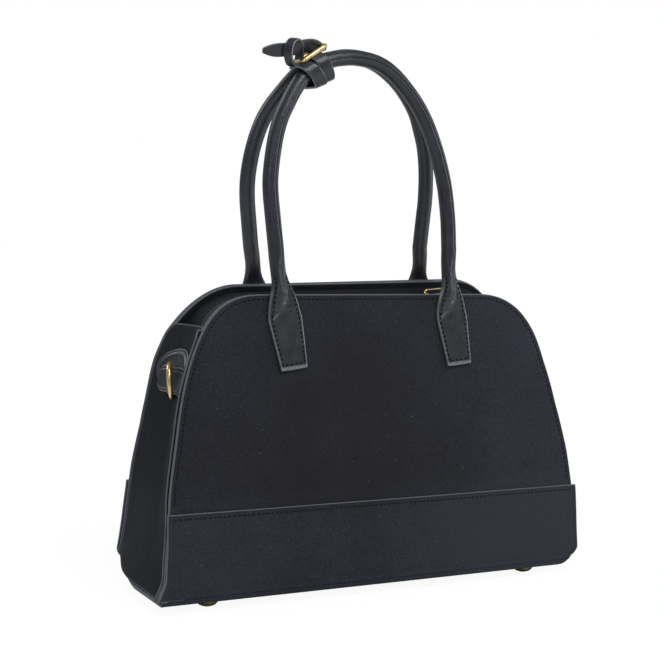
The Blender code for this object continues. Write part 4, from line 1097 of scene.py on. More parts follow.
@dataclass
class Panels:
    """The two large panels, the bands round their feet and the base that wraps up to meet them.

    The overhang is how far the front band and the back one stand out past the panels' edges. The cuts are how many
    stretches a side edge, the foot and the top of an outline have.
    """

    finishes: Finishes
    stitch: Stitch = Stitch()
    stitch_inset: float = 0.0034
    stitch_lift: float = -0.00012
    panel_foot: float = 0.0031
    panel_cuts: tuple[int, int, int] = (110, 70, 60)
    square_out: float = 0.0014
    back_paint: float = 0.55
    band_cuts: tuple[int, int, int] = (40, 90, 90)
    band_face: float = 0.0064
    base_half_width: float = 0.1515
    base_radius: float = 0.0026
    base_fold: float = 0.0028
    base_corner: float = 0.0070
    base_draw: float = 0.25
    sharp_corner: float = 0.0012
    back_band_rise: float = 0.0060
    overhang: tuple[float, float] = (0.0015, 0.0007)

    def build(self) -> None:
        """Make every piece of the panels."""
        for side in Side:
            self.panel(side)
            self.band(side)
        self.base()

    def edge(self, amount: float) -> Array:
        """A panel's right edge, moved inwards, with the band's rounded corner.

        Args:
            amount: How far inwards, in metres.

        Returns:
            X and the distance up the slope of each point.
        """
        edge = FORM.edge_in(amount)
        low = np.linspace(self.panel_foot + amount, 0.020, 14)
        start = np.column_stack((np.interp(low, edge[:, 1], edge[:, 0]), low))
        edge = np.vstack((start, edge[edge[:, 1] > 0.0205]))
        edge[:, 0] -= tucked(edge[:, 1] - amount)
        return edge

    def panel(self, side: Side) -> None:
        """One panel: a plate over the outline with a stitched, painted edge.

        Args:
            side: Which panel. The front one's left corner is square and stands out, to meet the band's edge.
        """
        def left_run(amount: float) -> Array:
            """The left edge, moved inwards.

            Args:
                amount: How far inwards, in metres.

            Returns:
                X and the distance up the slope of each point.
            """
            edge = self.edge(amount)
            if side is Side.FRONT:
                edge[:, 0] += tucked(edge[:, 1] - amount) + self.square_out * fade(*FOOT_FADE, edge[:, 1])
            return edge * (-1.0, 1.0)

        made = plate(
            lambda amount: round_trip(self.edge(amount), left_run(amount), self.panel_cuts),
            round_edge(SIZES.panel, self.stitch_inset), lambda flat, depth: FORM.on_panel(flat, -depth, side), 16,
        )
        if side is Side.BACK:
            made.masks["paint"] *= self.back_paint
        made.add(f"{side.label}_panel_leather", self.finishes.nubuck, "suede", f"{side.label}_panel")
        right = self.edge(self.stitch_inset)
        seam = np.vstack((right, right[::-1] * (-1.0, 1.0)))
        seam = spread(seam[seam[:, 1] > self.band_top() + 0.0010], 500)
        self.sew(f"{side.label}_panel_stitches", seam, 0.0, side)

    def band_top(self) -> float:
        """How far up the slope the bands reach."""
        return (SIZES.base_fold_height + SIZES.seat_gap) / math.cos(SIZES.lean) + SIZES.band_height

    def band(self, side: Side) -> None:
        """One lower band: its top edge is painted and stitched, and its lower corners are rounded.

        Args:
            side: Which band. The front one's left corner is nearly sharp, and the back one is higher.
        """
        foot = (self.base_fold + 0.0002) / math.cos(SIZES.lean)
        top = self.band_top() + self.back_band_rise * (side is Side.BACK)
        lift = SIZES.seat_gap + SIZES.band
        overhang = self.overhang[side is Side.BACK]

        def end_run(amount: float, corner: float) -> Array:
            """The end of the band from its foot to its top, moved inwards. Its corner goes on round the base.

            Args:
                amount: How far inwards, in metres.
                corner: The radius of its lower corner.

            Returns:
                X and the distance up the slope of each point.
            """
            heights = foot + amount + (top - foot - 2 * amount) * np.linspace(0.0, 1.0, 80) ** 1.5
            widths = FORM.reach(heights) + overhang - amount
            return np.column_stack((widths - tucked(heights - amount, corner), heights))

        def outline(amount: float) -> Array:
            """The band's outline, moved inwards."""
            left = end_run(amount, self.sharp_corner if side is Side.FRONT else CORNER) * (-1.0, 1.0)
            return round_trip(end_run(amount, CORNER), left, self.band_cuts)

        made = plate(
            outline, round_edge(SIZES.band, self.stitch_inset, self.band_face),
            lambda flat, depth: FORM.on_panel(flat, lift - depth, side), 9,
        )
        x, z = made.points[:, 0], made.points[:, 2]
        made.masks["paint"] *= np.maximum(smooth(0.012, 0.020, z), smooth(0.145, 0.150, -x) * (side is Side.FRONT))
        made.add(f"{side.label}_band_leather", self.finishes.nubuck, "suede", f"{side.label}_lower_band")
        reach, level = FORM.reach(top) + overhang - self.stitch_inset, top - self.stitch_inset
        self.sew(f"{side.label}_band_stitches", spread(np.array(((-reach, level), (reach, level))), 300), lift, side)

    def sew(self, name: str, seam: Array, lift: float, side: Side) -> None:
        """Lay stitches along a flat route on a panel.

        Args:
            name: The piece's name.
            seam: X and the distance up the slope of the route's points.
            lift: How far out of the panel's outer face the sewn leather is.
            side: Which panel.
        """
        normal = np.array((0.0, side.value * math.cos(SIZES.lean), math.sin(SIZES.lean)))
        route = FORM.on_panel(seam, lift + self.stitch_lift, side)
        self.stitch.run(route, np.broadcast_to(normal, route.shape)).add(name, self.finishes.thread, "suede")

    def base(self) -> None:
        """The base: a sheet that folds up at the front and back, y = half depth less a quarter circle's rest.

        Its corners are rounded as the bands' are, in x and z, and also in x and y.
        """
        s = SIZES
        half, r = s.base_depth / 2 + s.seat_gap + s.band, self.base_radius
        turn = np.linspace(0.0, math.pi / 2, 9)
        fold = np.column_stack((-half + r - r * np.cos(turn), s.foot_height + r - r * np.sin(turn)))
        rise = np.linspace(s.foot_height + self.base_fold, s.foot_height + r, 4)[:-1]
        front = np.vstack((np.column_stack((np.full(3, -half), rise)), fold))
        flat = np.column_stack((np.linspace(-half + r, half - r, 30)[1:-1], np.full(28, s.foot_height)))
        section = np.vstack((front, flat, front[::-1] * (-1.0, 1.0)))
        x = self.base_half_width * np.sin(np.linspace(-math.pi / 2, math.pi / 2, 90))
        made = leather_sheet(
            np.stack(np.broadcast_arrays(x[:, None], *section.T), axis=-1), s.base_thickness, (0.0, 0.0, 1.0))
        x, y, z = made.points.T.copy()
        rounded = np.where(x > 0, 1.0, smooth(-0.010, 0.030, y))
        start = self.base_half_width + self.overhang[0] - CORNER
        kept = 1 - self.base_draw * rounded
        beyond = np.clip(np.abs(x) - start, 0.0, None) * kept
        out = np.minimum(np.abs(x), start) + beyond
        up = 0.92 * (CORNER - np.sqrt(CORNER**2 - beyond**2)) * rounded
        ends = start + (self.base_half_width - start) * kept
        into = np.clip(out - (ends - self.base_corner), 0.0, self.base_corner)
        cut = (self.base_corner - np.sqrt(self.base_corner**2 - into**2)) * np.where(y < 0, 0.25, 0.6)
        made.points = FORM.settled(np.column_stack((
            np.sign(x) * out, np.sign(y) * np.minimum(np.abs(y), half - cut),
            z + up * (1 - np.clip((z - s.foot_height) / self.base_fold, 0.0, 1.0)),
        )))
        made.masks["paint"] *= smooth(0.1475, 0.1500, -x)
        made.add("base_leather", self.finishes.nubuck, "suede", "base_panel")


@dataclass
class Gussets:
    """The soft side walls, each with a crease drawn in down its middle, and what is sewn on them."""

    finishes: Finishes
    stand_out: float = 0.0006
    foot_out: float = 0.0009
    rear_margin: float = 0.0005
    splay: float = 0.0010
    top_lip: float = 0.0026
    fold_radius: float = 0.0024
    patch_half_width: float = 0.0185
    patch_y: float = 0.0025
    patch_half_height: float = 0.0145
    patch_share: float = 0.7245
    patch: float = 0.0016
    patch_stitch_inset: float = 0.0046
    strap_share: float = 0.696
    strap_height: float = 0.0172
    strap_reach: tuple[float, float] = (-0.0218, 0.0155)
    strap_corner: float = 0.0050
    ring_bar: float = 0.0012
    hump_half_width: float = 0.0058

    def build(self) -> None:
        """Make both ends."""
        for hand in Hand:
            self.wall(hand)
            self.oval(hand)
            self.ring_strap(hand)

    def wall_x(self, y: Array, height: Array) -> Array:
        """How far out a gusset's outer face is.

        x = edge - crease (1 - u), with u = sqrt(t^2 + 0.01) and t the share of the way from the middle to the
        panel, so that the crease has a rounded bottom. The edge is the fold at the front. At the back it is the
        panel's own, because the leather is pulled straight there: x moves on to it by u^1.2.

        Args:
            y: How far back of the middle each point is.
            height: How far up the slope it is.

        Returns:
            Its distance from the middle of the bag.
        """
        t = np.clip(np.abs(y) / FORM.seat(height)[0], 0.0, 1.0)
        u = np.clip(np.sqrt(t**2 + 0.01) - 0.005, 0.0, 1.0)
        fold = self.fold_x(height) + SIZES.skin
        rear = FORM.reach(height, self.rear_margin) - fold
        return fold - FORM.crease(height) * (1.0 - u) + rear * u**1.2 * (np.asarray(y) > 0)

    def fold_x(self, height: Array) -> Array:
        """How far out the inner face of the front fold is. At the foot it comes out to the panel's edge."""
        inset = FORM.reach(height, SIZES.side_flange + SIZES.skin)
        return inset + (FORM.reach(height, SIZES.skin + 0.0012) - inset) * fade(0.004, 0.030, height)

    def wall(self, hand: Hand) -> None:
        """One gusset: flanges along the panels, quarter-circle folds, and the creased wall between them.

        Args:
            hand: Which one. The left one's front foot is square.
        """
        s, r = SIZES, self.fold_radius
        lift = (s.base_thickness + 2 * s.seat_gap) / math.cos(s.lean)
        foot = lift + (s.panel + s.seat_gap) * math.tan(s.lean)
        heights = np.linspace(foot, s.gusset_top_share * s.slant, 110)[:, None]
        seat, z = FORM.seat(heights)
        x_in = self.fold_x(heights)
        share = np.linspace(0.0, 1.0, 5)
        turn = np.linspace(0.0, math.pi / 2, 6)[1:]
        x_out = FORM.reach(heights) + self.stand_out + self.foot_out * fade(*FOOT_FADE, heights)
        flange_x = x_out + (x_in + r - x_out) * share
        flange_y = seat - self.splay * smooth(0.055, 0.078, z) * fade(0.125, 0.150, z) * (1 - share)
        fold_x, fold_y = x_in + r - r * np.sin(turn), seat - r + r * np.cos(turn)
        t = np.linspace(1.0, -1.0, 61)[:-1]
        wall_y = np.where(t > 0, seat, seat - r) * t
        wall_x = self.wall_x(wall_y, np.broadcast_to(heights, wall_y.shape)) - s.skin
        x = np.concatenate((wall_x, fold_x[:, ::-1], flange_x[:, ::-1]), axis=1)
        y = np.concatenate((wall_y, -fold_y[:, ::-1], -flange_y[:, ::-1]), axis=1)
        rounded = 1.0 if hand is Hand.RIGHT else smooth(0.0, 0.040, y)
        lip = self.top_lip * smooth(0.150, 0.1695, z)
        over_strip = 1 - (s.skin + 0.0001) / seat * smooth(0.1650, 0.1690, z)
        out = x - tucked(heights) * rounded - 0.25 * lip
        grid = np.stack((out * hand.value, y * over_strip, np.broadcast_to(z + lip, x.shape)), axis=-1)
        made = leather_sheet(grid, s.skin, (hand.value, 0.0, 0.0))
        y, level = made.points[:, 1], made.points[:, 2]
        # Painted shade: the whole wall is darkened, its front half most, where the front panel's edge shades it, and a
        # little less towards the top.
        front = fade(-0.30, 0.30, y / np.interp(level, z[:, 0], seat[:, 0]))
        made.masks["shut"] = (0.50 + 0.50 * front) * (1 - 0.3 * smooth(0.120, 0.165, level))
        made.points = FORM.settled(made.points)
        made.add(f"{hand.label}_gusset_leather", self.finishes.nubuck, "suede", f"{hand.label}_gusset")

    def over_wall(self, flat: Array, lift: Array | float, hand: Hand) -> Array:
        """Points over a gusset's outer face, from Y and the distance up the slope.

        Args:
            flat: Y and the distance up the slope of each point.
            lift: How far out of the face each point is.
            hand: Which gusset.

        Returns:
            The points.
        """
        y, h = flat[..., 0], flat[..., 1]
        x = self.wall_x(y, h) + lift
        return FORM.settled(np.stack((hand.value * x, y, FORM.seat(h)[1]), axis=-1))

    def oval(self, hand: Hand) -> None:
        """The oval patch: two layers of leather, the upper one 2.2 mm smaller all round, with its stitches.

        Args:
            hand: Which end of the bag.
        """
        around = turns(120)
        oval = np.column_stack((self.patch_half_width * np.cos(around), self.patch_half_height * np.sin(around)))
        edge = [
            (0.0060, 0.0, 0.0), (0.0036, 0.0, 0.0), (0.0030, 0.0, 0.2), (0.0026, 0.00012, 1.0), (0.0024, 0.00045, 1.0),
            (0.0023, 0.0008, 0.4), (0.0017, 0.00082, 0.0), (0.0010, 0.0008, 0.0), (0.0005, 0.00082, 0.3),
            (0.0002, 0.00092, 1.0), (0.0, 0.0012, 1.0), (0.0002, 0.0015, 1.0), (0.0006, 0.0016, 0.2),
            (0.0060, 0.0016, 0.0),
        ]
        middle = (self.patch_y, self.patch_share * SIZES.slant)

        def place(flat: Array, depth: Array) -> Array:
            """A point of the patch, over the wall."""
            return self.over_wall(flat + middle, 2 * SIZES.seat_gap + self.patch - depth, hand)

        made = plate(lambda amount: moved_in(oval, amount), edge, place, 7)
        made.add(f"{hand.label}_patch_leather", self.finishes.leather, "leather", f"{hand.label}_patch")
        ring = moved_in(oval, self.patch_stitch_inset)
        route = place(np.vstack((ring, ring[:1])), np.full(121, 0.0001))
        normals = np.broadcast_to((float(hand.value), 0.0, 0.0), route.shape)
        stitches = Stitch(pitch=0.0030, length=0.0022).run(route, normals)
        stitches.add(f"{hand.label}_patch_stitches", self.finishes.thread, "leather")

    def ring_strap(self, hand: Hand) -> None:
        """The strap that holds the ring: lift = flat + hump cos^2 over the bar, in two layers with round ends.

        Args:
            hand: Which end of the bag.
        """
        middle = self.strap_share * SIZES.slant
        flat = 3 * SIZES.seat_gap + self.patch
        over_bar = SIZES.ring_x + self.ring_bar + 0.0004
        solid = f"{hand.label}_ring_strap"
        for name, low, thick, margin, solids in (
            ("lining", 0.0, 0.0010, 0.0, [solid]), ("face", 0.0010, 0.0008, 0.0022, []),
        ):
            half = self.strap_height / 2 - margin
            heights = np.linspace(middle - half, middle + half, 14)
            y = np.linspace(self.strap_reach[0] + margin * 0.3, self.strap_reach[1] - margin * 0.3, 100)
            yy, hh = np.broadcast_arrays(y[None, :], heights[:, None])
            near = np.clip(np.abs(yy - SIZES.ring_y) / self.hump_half_width, 0.0, 1.0)
            hump = over_bar - self.wall_x(yy, hh) - flat
            lift = flat + low + hump * np.cos(near * math.pi / 2) ** 2
            end = np.clip((yy - y[-1]) / self.strap_corner + 1, 0.0, 1.0)
            hh = middle + (hh - middle) * np.sqrt(1 - 0.6 * end**2)
            made = leather_sheet(self.over_wall(np.stack((yy, hh), axis=-1), lift, hand), thick, (hand.value, 0.0, 0.0))
            made.add(f"{solid}_{name}", self.finishes.leather, "leather", *solids)


@dataclass
class ZipTop:
    """The recessed strips under the rim, the tapes and teeth of the zip, and its metal."""

    finishes: Finishes
    half_length: float = 0.080
    window: float = 0.006
    half_slot: float = 0.0028
    tooth_pitch: float = 0.0026
    tape_reach: float = 0.0128
    tape: float = 0.0008
    tape_top: float = 0.19042
    bevel: float = 0.0003
    fold_radius: float = 0.0026

    def build(self) -> None:
        """Make the top, and give the slider, the stops and the base's board their finishes."""
        for side in Side:
            self.strip(side)
            self.tape_and_teeth(side)
        for name in ("zip_slider", "left_zip_stop", "right_zip_stop"):
            dress(name, self.finishes.gold, self.bevel)
        dress("base_board", self.finishes.board, 0.0)

    def strip_run(self, amount: float, sink: float) -> Array:
        """A line along the strip from end to end over the rim, in X and the distance up the slope.

        Args:
            amount: How far in from the panel's edge it is.
            sink: How far further in it starts, by the gusset.

        Returns:
            The line, from the right to the left.
        """
        start = SIZES.gusset_top_share * SIZES.slant + SIZES.skin
        edge = FORM.edge_in(amount)
        low = np.interp(start, edge[:, 1], edge[:, 0])
        corner = spread(np.vstack(((low, start), edge[edge[:, 1] > start])), 46)
        corner[:, 0] -= sink * fade(start, start + 0.010, corner[:, 1])
        straight = np.column_stack((np.linspace(corner[-1, 0], 0.0, 40)[1:], np.full(39, corner[-1, 1])))
        right = np.vstack((corner, straight))
        return np.vstack((right, right[-2::-1] * (-1.0, 1.0)))

    def strip(self, side: Side) -> None:
        """One strip: a flange on the panel's inner face, a quarter-circle fold, and a web across to the zip's slot.

        Args:
            side: Which panel it hangs from.
        """
        s, r = SIZES, self.fold_radius
        outer, inner = self.strip_run(0.0002, 0.0), self.strip_run(s.top_flange + s.skin, 0.0016)
        share = np.linspace(0.0, 1.0, 6) * 0.72
        turn = np.linspace(0.0, math.pi / 2, 6)[1:]
        across = np.linspace(0.0, 1.0, 12)[1:]
        x_in, (y_in, z_in) = inner[:, :1], FORM.seat(inner[:, 1:])
        x, y, z = (
            a + (b - a) * share for a, b in zip((outer[:, :1], *FORM.seat(outer[:, 1:])), (x_in, y_in, z_in)))
        fold_x, fold_z = (a[:, -1:] + (b - a[:, -1:]) * np.sin(turn) for a, b in ((x, x_in), (z, z_in)))
        fold_y = y_in - r + r * np.cos(turn)
        reach = 0.00015 + (self.window - 0.00015) * fade(0.0802, 0.0845, np.abs(x_in))
        web_y = fold_y[:, -1:] + (reach - fold_y[:, -1:]) * across
        sag = 0.0006 * np.sin(math.pi * across) * smooth(0.0, 0.02, 0.1 - np.abs(x_in))
        grid = np.stack((
            np.concatenate((x, fold_x, np.repeat(x_in, 11, axis=1)), axis=1),
            side.value * np.concatenate((y, fold_y, web_y), axis=1), np.concatenate((z, fold_z, z_in + sag), axis=1),
        ), axis=-1)
        made = leather_sheet(grid, s.skin, (0.0, -side.value * 0.5, 1.0))
        # Painted shade: the whole strip is darkened, as down in the recess under the rim.
        made.masks["shut"] = np.ones(len(made.points))
        made.points = FORM.settled(made.points)
        made.add(f"{side.label}_zip_strip_leather", self.finishes.nubuck, "suede", f"{side.label}_zip_strip")

    def tape_and_teeth(self, side: Side) -> None:
        """One tape, a thin ribbed sheet, and its row of teeth, each a small rounded block.

        Args:
            side: Which side of the slot.
        """
        x = np.linspace(-self.half_length, self.half_length, 120)
        y = np.linspace(self.half_slot + 0.0004, self.tape_reach, 14)
        grid = np.stack(np.broadcast_arrays(x[:, None], side.value * y, self.tape_top - self.tape), axis=-1)
        made = leather_sheet(grid, self.tape, (0.0, 0.0, 1.0))
        made.masks.clear()
        made.add(f"{side.label}_zip_tape_cloth", self.finishes.tape, "tape", f"{side.label}_zip_tape")
        block = soft_box(0.00075, 0.0011, 0.5, 12)
        rings = np.stack([
            np.column_stack((block[:, 0] * k, np.full(12, side.value * (self.half_slot + out)), block[:, 1] * k))
            for k, out in ((0.70, 0.0), (1.0, 0.0002), (1.0, 0.0011), (0.70, 0.0013))
        ])
        count = int(2 * self.half_length / self.tooth_pitch) - 1
        spots = -self.half_length + 0.0016 + self.tooth_pitch * (np.arange(count) + 0.5 * (side is Side.BACK))
        level = self.tape_top - self.tape / 2
        teeth = joined([capped(rings + (spot, 0.0, level)) for spot in spots])
        teeth.add(f"{side.label}_zip_teeth", self.finishes.gold, "gold")


def dress(node: str, material: bpy.types.Material, bevel: float) -> None:
    """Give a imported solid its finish, and soften its edges where a bevel width is given.

    Args:
        node: The solid's name.
        material: Its finish.
        bevel: The bevel's width, or 0 for none.
    """
    obj = bpy.data.objects[node]
    for slot in obj.material_slots:
        slot.material = material
    if bevel > 0:
        soften = obj.modifiers.new("Bevel", "BEVEL")
        soften.width, soften.segments = bevel, 2
        soften.limit_method, soften.angle_limit = "ANGLE", math.radians(35)


@dataclass
class Handles:
    """The two rolled handles, each one strip of leather from tab to tab, rolled into a tube between them.

    The routes are shares of half_span to the right of centre_x and of the tube's height. The tabs' feet and tops are
    the left one's X and the right one's, and their widths are those at the foot, the shoulder and the top. Each
    neck_share is how far up the neck it is, how round it is, how thick and how far off the panel. The roll's edges
    and heights go by Z: where across the strip it ends, and how high it stands. The valley beside its edge is how far
    from it, how wide and how deep, the crest on it how wide and how high, and the tube's seam how wide and how deep.
    """

    finishes: Finishes
    half_span: float = 0.0680
    centre_x: float = -0.0090
    foot_y: float = 0.0178
    top_y: float = 0.0064
    around: int = 112
    tab_feet: tuple[float, float] = (-0.0640, 0.0630)
    tab_tops: tuple[float, float] = (-0.0690, 0.0590)
    tab_widths: tuple[float, float, float] = (0.0095, 0.0122, 0.0115)
    tab_shoulder: float = 0.1780
    tab_steps: int = 30
    neck_steps: int = 37
    tube_heights: tuple[float, float] = (0.205, 0.224)
    valley: tuple[float, float, float] = (0.34, 0.21, 0.48)
    crest: tuple[float, float] = (0.07, 0.0006)
    seam: tuple[float, float] = (0.11, 0.16)
    sewn_steps: int = 48
    blend_heights: tuple[float, float] = (0.187, 0.226)
    front_route: Pairs = (
        (-0.951, 0.000), (-0.976, 0.138), (-0.999, 0.283), (-0.993, 0.386), (-0.949, 0.535), (-0.890, 0.648),
        (-0.812, 0.735), (-0.715, 0.824), (-0.610, 0.892), (-0.500, 0.939), (-0.382, 0.969), (-0.250, 0.989),
        (-0.059, 1.000), (0.176, 0.983), (0.376, 0.926), (0.591, 0.809), (0.729, 0.697), (0.821, 0.587),
        (0.894, 0.472), (0.947, 0.357), (0.975, 0.252), (0.991, 0.142), (0.996, 0.000),
    )
    back_route: Pairs = (
        (-0.975, 0.000), (-1.010, 0.120), (-1.042, 0.237), (-1.052, 0.331), (-1.040, 0.425), (-1.006, 0.528),
        (-0.948, 0.630), (-0.872, 0.713), (-0.768, 0.790), (-0.610, 0.892), (-0.500, 0.939), (-0.382, 0.969),
        (-0.250, 0.992), (-0.059, 1.013), (0.176, 1.005), (0.391, 0.956), (0.596, 0.871), (0.771, 0.755),
        (0.860, 0.649), (0.928, 0.542), (0.971, 0.405), (0.985, 0.266), (0.979, 0.172), (0.968, 0.000),
    )
    neck_shares: tuple[tuple[float, float, float, float], ...] = (
        (0.0, 0.0, 0.0, 0.0), (0.12, 0.16, 0.16, 0.0), (0.24, 0.42, 0.38, 0.0), (0.36, 0.72, 0.62, 0.12),
        (0.50, 0.93, 0.88, 0.45), (0.66, 1.0, 1.0, 0.80), (0.83, 1.0, 1.0, 0.96), (1.0, 1.0, 1.0, 1.0),
    )
    roll_edges: Pairs = (
        (0.178, -1.0), (0.181, -0.7), (0.185, -0.3), (0.190, 0.0), (0.197, 0.3), (0.214, 0.46), (0.226, 0.5),
    )
    roll_heights: Pairs = (
        (0.178, 0.00115), (0.181, 0.0020), (0.185, 0.0032), (0.190, 0.0046), (0.197, 0.0056), (0.206, 0.0059),
        (0.215, 0.0056), (0.226, 0.0052),
    )

    def build(self) -> None:
        """Make both handles."""
        for side in Side:
            self.handle(side)

    def route(self, side: Side, count: int = 40) -> Array:
        """A handle's middle line from its left foot to its right: the handles lean in towards each other.

        Args:
            side: Which handle.
            count: How many points the line has.

        Returns:
            The points, one row each.
        """
        low, high = SIZES.handle_foot_z, SIZES.handle_top_z
        across, up = np.array(self.front_route if side is Side.FRONT else self.back_route).T
        z = low + up * (high - low)
        y = side.value * np.interp(z, (low, high), (self.foot_y, self.top_y))
        return smooth_route(np.column_stack((self.centre_x + across * self.half_span, y, z)), count)

    def leg(self, side: Side, hand: Hand, last: Array) -> Array:
        """The stations of one leg, from the tab's foot to where the tube starts.

        Args:
            side: Which handle.
            hand: Which of its legs, as seen from the front.
            last: The tube's first point.

        Returns:
            A row for each station: its middle, half width, half thickness, roundness and way off the panel.
        """
        s, pick = SIZES, hand is Hand.RIGHT
        heights = np.linspace(s.tab_foot, s.tab_top, self.tab_steps)
        up = (heights - s.tab_foot) / (s.tab_top - s.tab_foot)
        x = self.tab_feet[pick] + (self.tab_tops[pick] - self.tab_feet[pick]) * up
        wide = np.interp(heights, (s.tab_foot, self.tab_shoulder, s.tab_top), self.tab_widths)
        tab = FORM.on_panel(np.column_stack((x, heights)), s.seat_gap + s.tab / 2, side)
        shares = np.array(self.neck_shares)
        fine = np.linspace(0.0, 1.0, self.neck_steps + 1)[1:]
        rough = np.pad(looked_up(fine, shares[:, 0], shares[:, 1:]), ((2, 2), (0, 0)), mode="edge")
        roundness, thick, moved = (np.convolve(column, np.full(5, 0.2), mode="valid") for column in rough.T)
        half_t = s.tab / 2 + (s.handle_radius - s.tab / 2) * thick
        half_w = self.tab_widths[2] + (s.handle_radius - self.tab_widths[2]) * roundness
        x, _, z = (tab[-1] + (last - tab[-1]) * fine[:, None]).T
        face = s.base_depth / 2 - (z - s.foot_height) * math.tan(s.lean)
        on_panel = face + (s.seat_gap + half_t) / math.cos(s.lean)
        y = side.value * (on_panel + (abs(last[1]) - on_panel) * moved)
        level = np.zeros(self.tab_steps)
        return np.vstack((
            np.column_stack((tab, wide, level + s.tab / 2, level, level)),
            np.column_stack((x, y, z, half_w, half_t, roundness, moved)),
        ))

    def stations(self, side: Side) -> Array:
        """Every station of a handle, from one tab's foot over the top to the other's.

        The back handle is followed the other way, so that both are the same article.

        Args:
            side: Which handle.

        Returns:
            The rows of the legs and the tube, with a last column that runs from 1 on the first leg to -1.
        """
        route, ends = self.route(side, 190), (Hand.LEFT, Hand.RIGHT)
        if side is Side.BACK:
            route, ends = route[::-1], ends[::-1]
        start, end = (self.leg(side, hand, last) for hand, last in zip(ends, route[[0, -1]]))
        radius, count = SIZES.handle_radius, len(route) - 2
        tube = np.column_stack((route[1:-1], np.tile((radius, radius, 1.0, 1.0), (count, 1))))
        leg = np.concatenate((np.ones(len(start)), np.linspace(1, -1, count), -np.ones(len(end))))
        return np.column_stack((np.vstack((start, tube, end[::-1])), leg))

    def handle(self, side: Side) -> None:
        """One handle: a section carried along its stations.

        Across the strip xi = sign(c) |c|^p; its thickness is |s|^p times the half thickness, with p from 1/3 on
        the flat tab to 1 on the tube. In front of the tab's upper end the strip's edge rolls over: the height
        there is tab / 2 + (roll - tab / 2) sqrt(1 - ((xi - middle) / half)^2) up to the roll's own edge. A valley
        and a crest run beside that edge, and a grooved seam runs along the tube.

        Args:
            side: Which handle.
        """
        s = SIZES
        rows = self.stations(side)
        middle, z = rows[:, :3], rows[:, 2:3]
        half_w, half_t, roundness, moved, leg = (rows[:, k:k + 1] for k in range(3, 8))
        ahead = tangents(middle)
        lean = np.array((0.0, side.value * math.cos(s.lean), math.sin(s.lean)))
        out = square_to(unit(lean * (1 - moved) + np.array((0.0, float(side.value), 0.0)) * moved), ahead)
        turn = turns(self.around)
        c, sine = np.cos(turn), np.sin(turn)
        power = 2 / (2 + 4 * (1 - roundness))
        xi, lift = np.sign(c) * np.abs(c) ** power, np.abs(sine) ** power
        edge, roll = (np.interp(z, *zip(*table)) for table in (self.roll_edges, self.roll_heights))
        tube = smooth(*self.tube_heights, z)
        from_left = xi * np.sign(leg)
        half = np.maximum((edge + 1) / 2, 1e-4)
        bump = np.sqrt(np.clip(1 - ((from_left - (edge - 1) / 2) / half) ** 2, 0.0, 1.0))
        beside = from_left - edge
        valley_at, valley_width, valley_depth = self.valley
        valley = bell(beside + valley_at, valley_width) * smooth(-0.7, 0.1, edge)
        crest = bell(beside, self.crest[0])
        rolled = s.tab / 2 + np.maximum(roll - s.tab / 2, 0.0) * bump * (1 - valley_depth * valley)
        rolled = rolled + self.crest[1] * crest
        height = np.where(sine > 0, lift * (tube * half_t + (1 - tube) * rolled), -lift * half_t)
        off = turn - np.arccos(np.clip(0.5 * leg, -1, 1))
        groove = (1 - self.seam[1] * tube * bell(off, self.seam[0]))[..., None]
        grid = middle[:, None] + groove * (
            np.cross(ahead, out)[:, None] * (xi * half_w)[..., None] + out[:, None] * height[..., None])
        folded = (1 - tube) * (sine > 0)
        rim = np.maximum(np.clip(1 - lift / 0.55, 0.0, 1.0), smooth(0.91, 0.97, np.abs(xi))) * fade(0.186, 0.210, z)
        lips = tube * bell(np.abs(off) - 0.21, 0.06) * 0.50
        # The light line along the roll's crest is its painted raw edge and also a painted highlight.
        ridge_edge_and_highlight = folded * smooth(-0.95, -0.7, edge) * crest * 0.85
        paint = np.maximum(np.maximum(rim, lips), ridge_edge_and_highlight)
        paint[:2] = paint[-2:] = 1.0
        # Painted shade: darker in the valley beside the roll's edge, in the tube's seam groove, and at half strength
        # over the tabs.
        shut = np.maximum(folded * valley, np.maximum(tube * bell(off, 0.10), 0.5 * fade(0.186, 0.200, z)))
        made = capped(grid, *(grid[k].mean(axis=0) - ahead[k] * tip for k, tip in ((0, 0.0004), (-1, -0.0004))))
        for name, mask, end in (("paint", paint, 1.0), ("shut", shut, 0.0)):
            made.masks[name] = np.append(np.clip(mask, 0, 1), (end, end))
        solids = [f"{side.label}_{hand.label}_{kind}" for hand in Hand for kind in ("tab", "neck")]
        solids.insert(0, f"{side.label}_handle")
        self.blend(made.add(
            f"{side.label}_handle_leather", self.finishes.leather, "leather", *solids, body=None), side)
        sewn = np.rint(np.arccos(0.80 ** (1 / power[:, 0])) * self.around / (2 * math.pi)).astype(int)
        rows = np.arange(len(grid))
        self.sew_tabs(side, grid[rows, self.around // 2 - sewn], grid[rows, sewn], out)

    def blend(self, piece: bpy.types.Object, side: Side) -> None:
        """Bake a piece's placement into its points. The points between which it would bend from the bag to the handles
        are made, but not used.
        """
        start, end = ((0.0, side.value * 0.02, height) for height in self.blend_heights)
        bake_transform(piece)
        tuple(start)
        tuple(end)

    def sew_tabs(self, side: Side, left: Array, right: Array, out: Array) -> None:
        """The stitches up both edges of each tab and on along the neck, and across the tab's foot.

        Args:
            side: Which handle.
            left: The surface's point at each station, in from the strip's left edge.
            right: The same on its right.
            out: The outward direction at each station.
        """
        stitch, made = Stitch(pitch=0.0031, length=0.0025, width=0.0011), []
        first = np.arange(2, 2 + self.sewn_steps)
        for rows in (first, len(out) - 1 - first):
            a, b, normals = left[rows], right[rows], out[rows]
            foot = a[0] + (b[0] - a[0]) * np.linspace(0.06, 0.94, 12)[:, None] + unit(a[1] - a[0]) * 0.0006
            made += [stitch.run(a, normals), stitch.run(b, normals)]
            made.append(stitch.run(foot, np.broadcast_to(normals[0], foot.shape)))
        self.blend(joined(made).add(
            f"{side.label}_tab_stitches", self.finishes.thread, "leather", body=None), side)


def rotation(axis: str | Vector, degrees: float) -> Array:
    """A turn about an axis, as a matrix."""
    return np.array(Matrix.Rotation(math.radians(degrees), 3, axis))


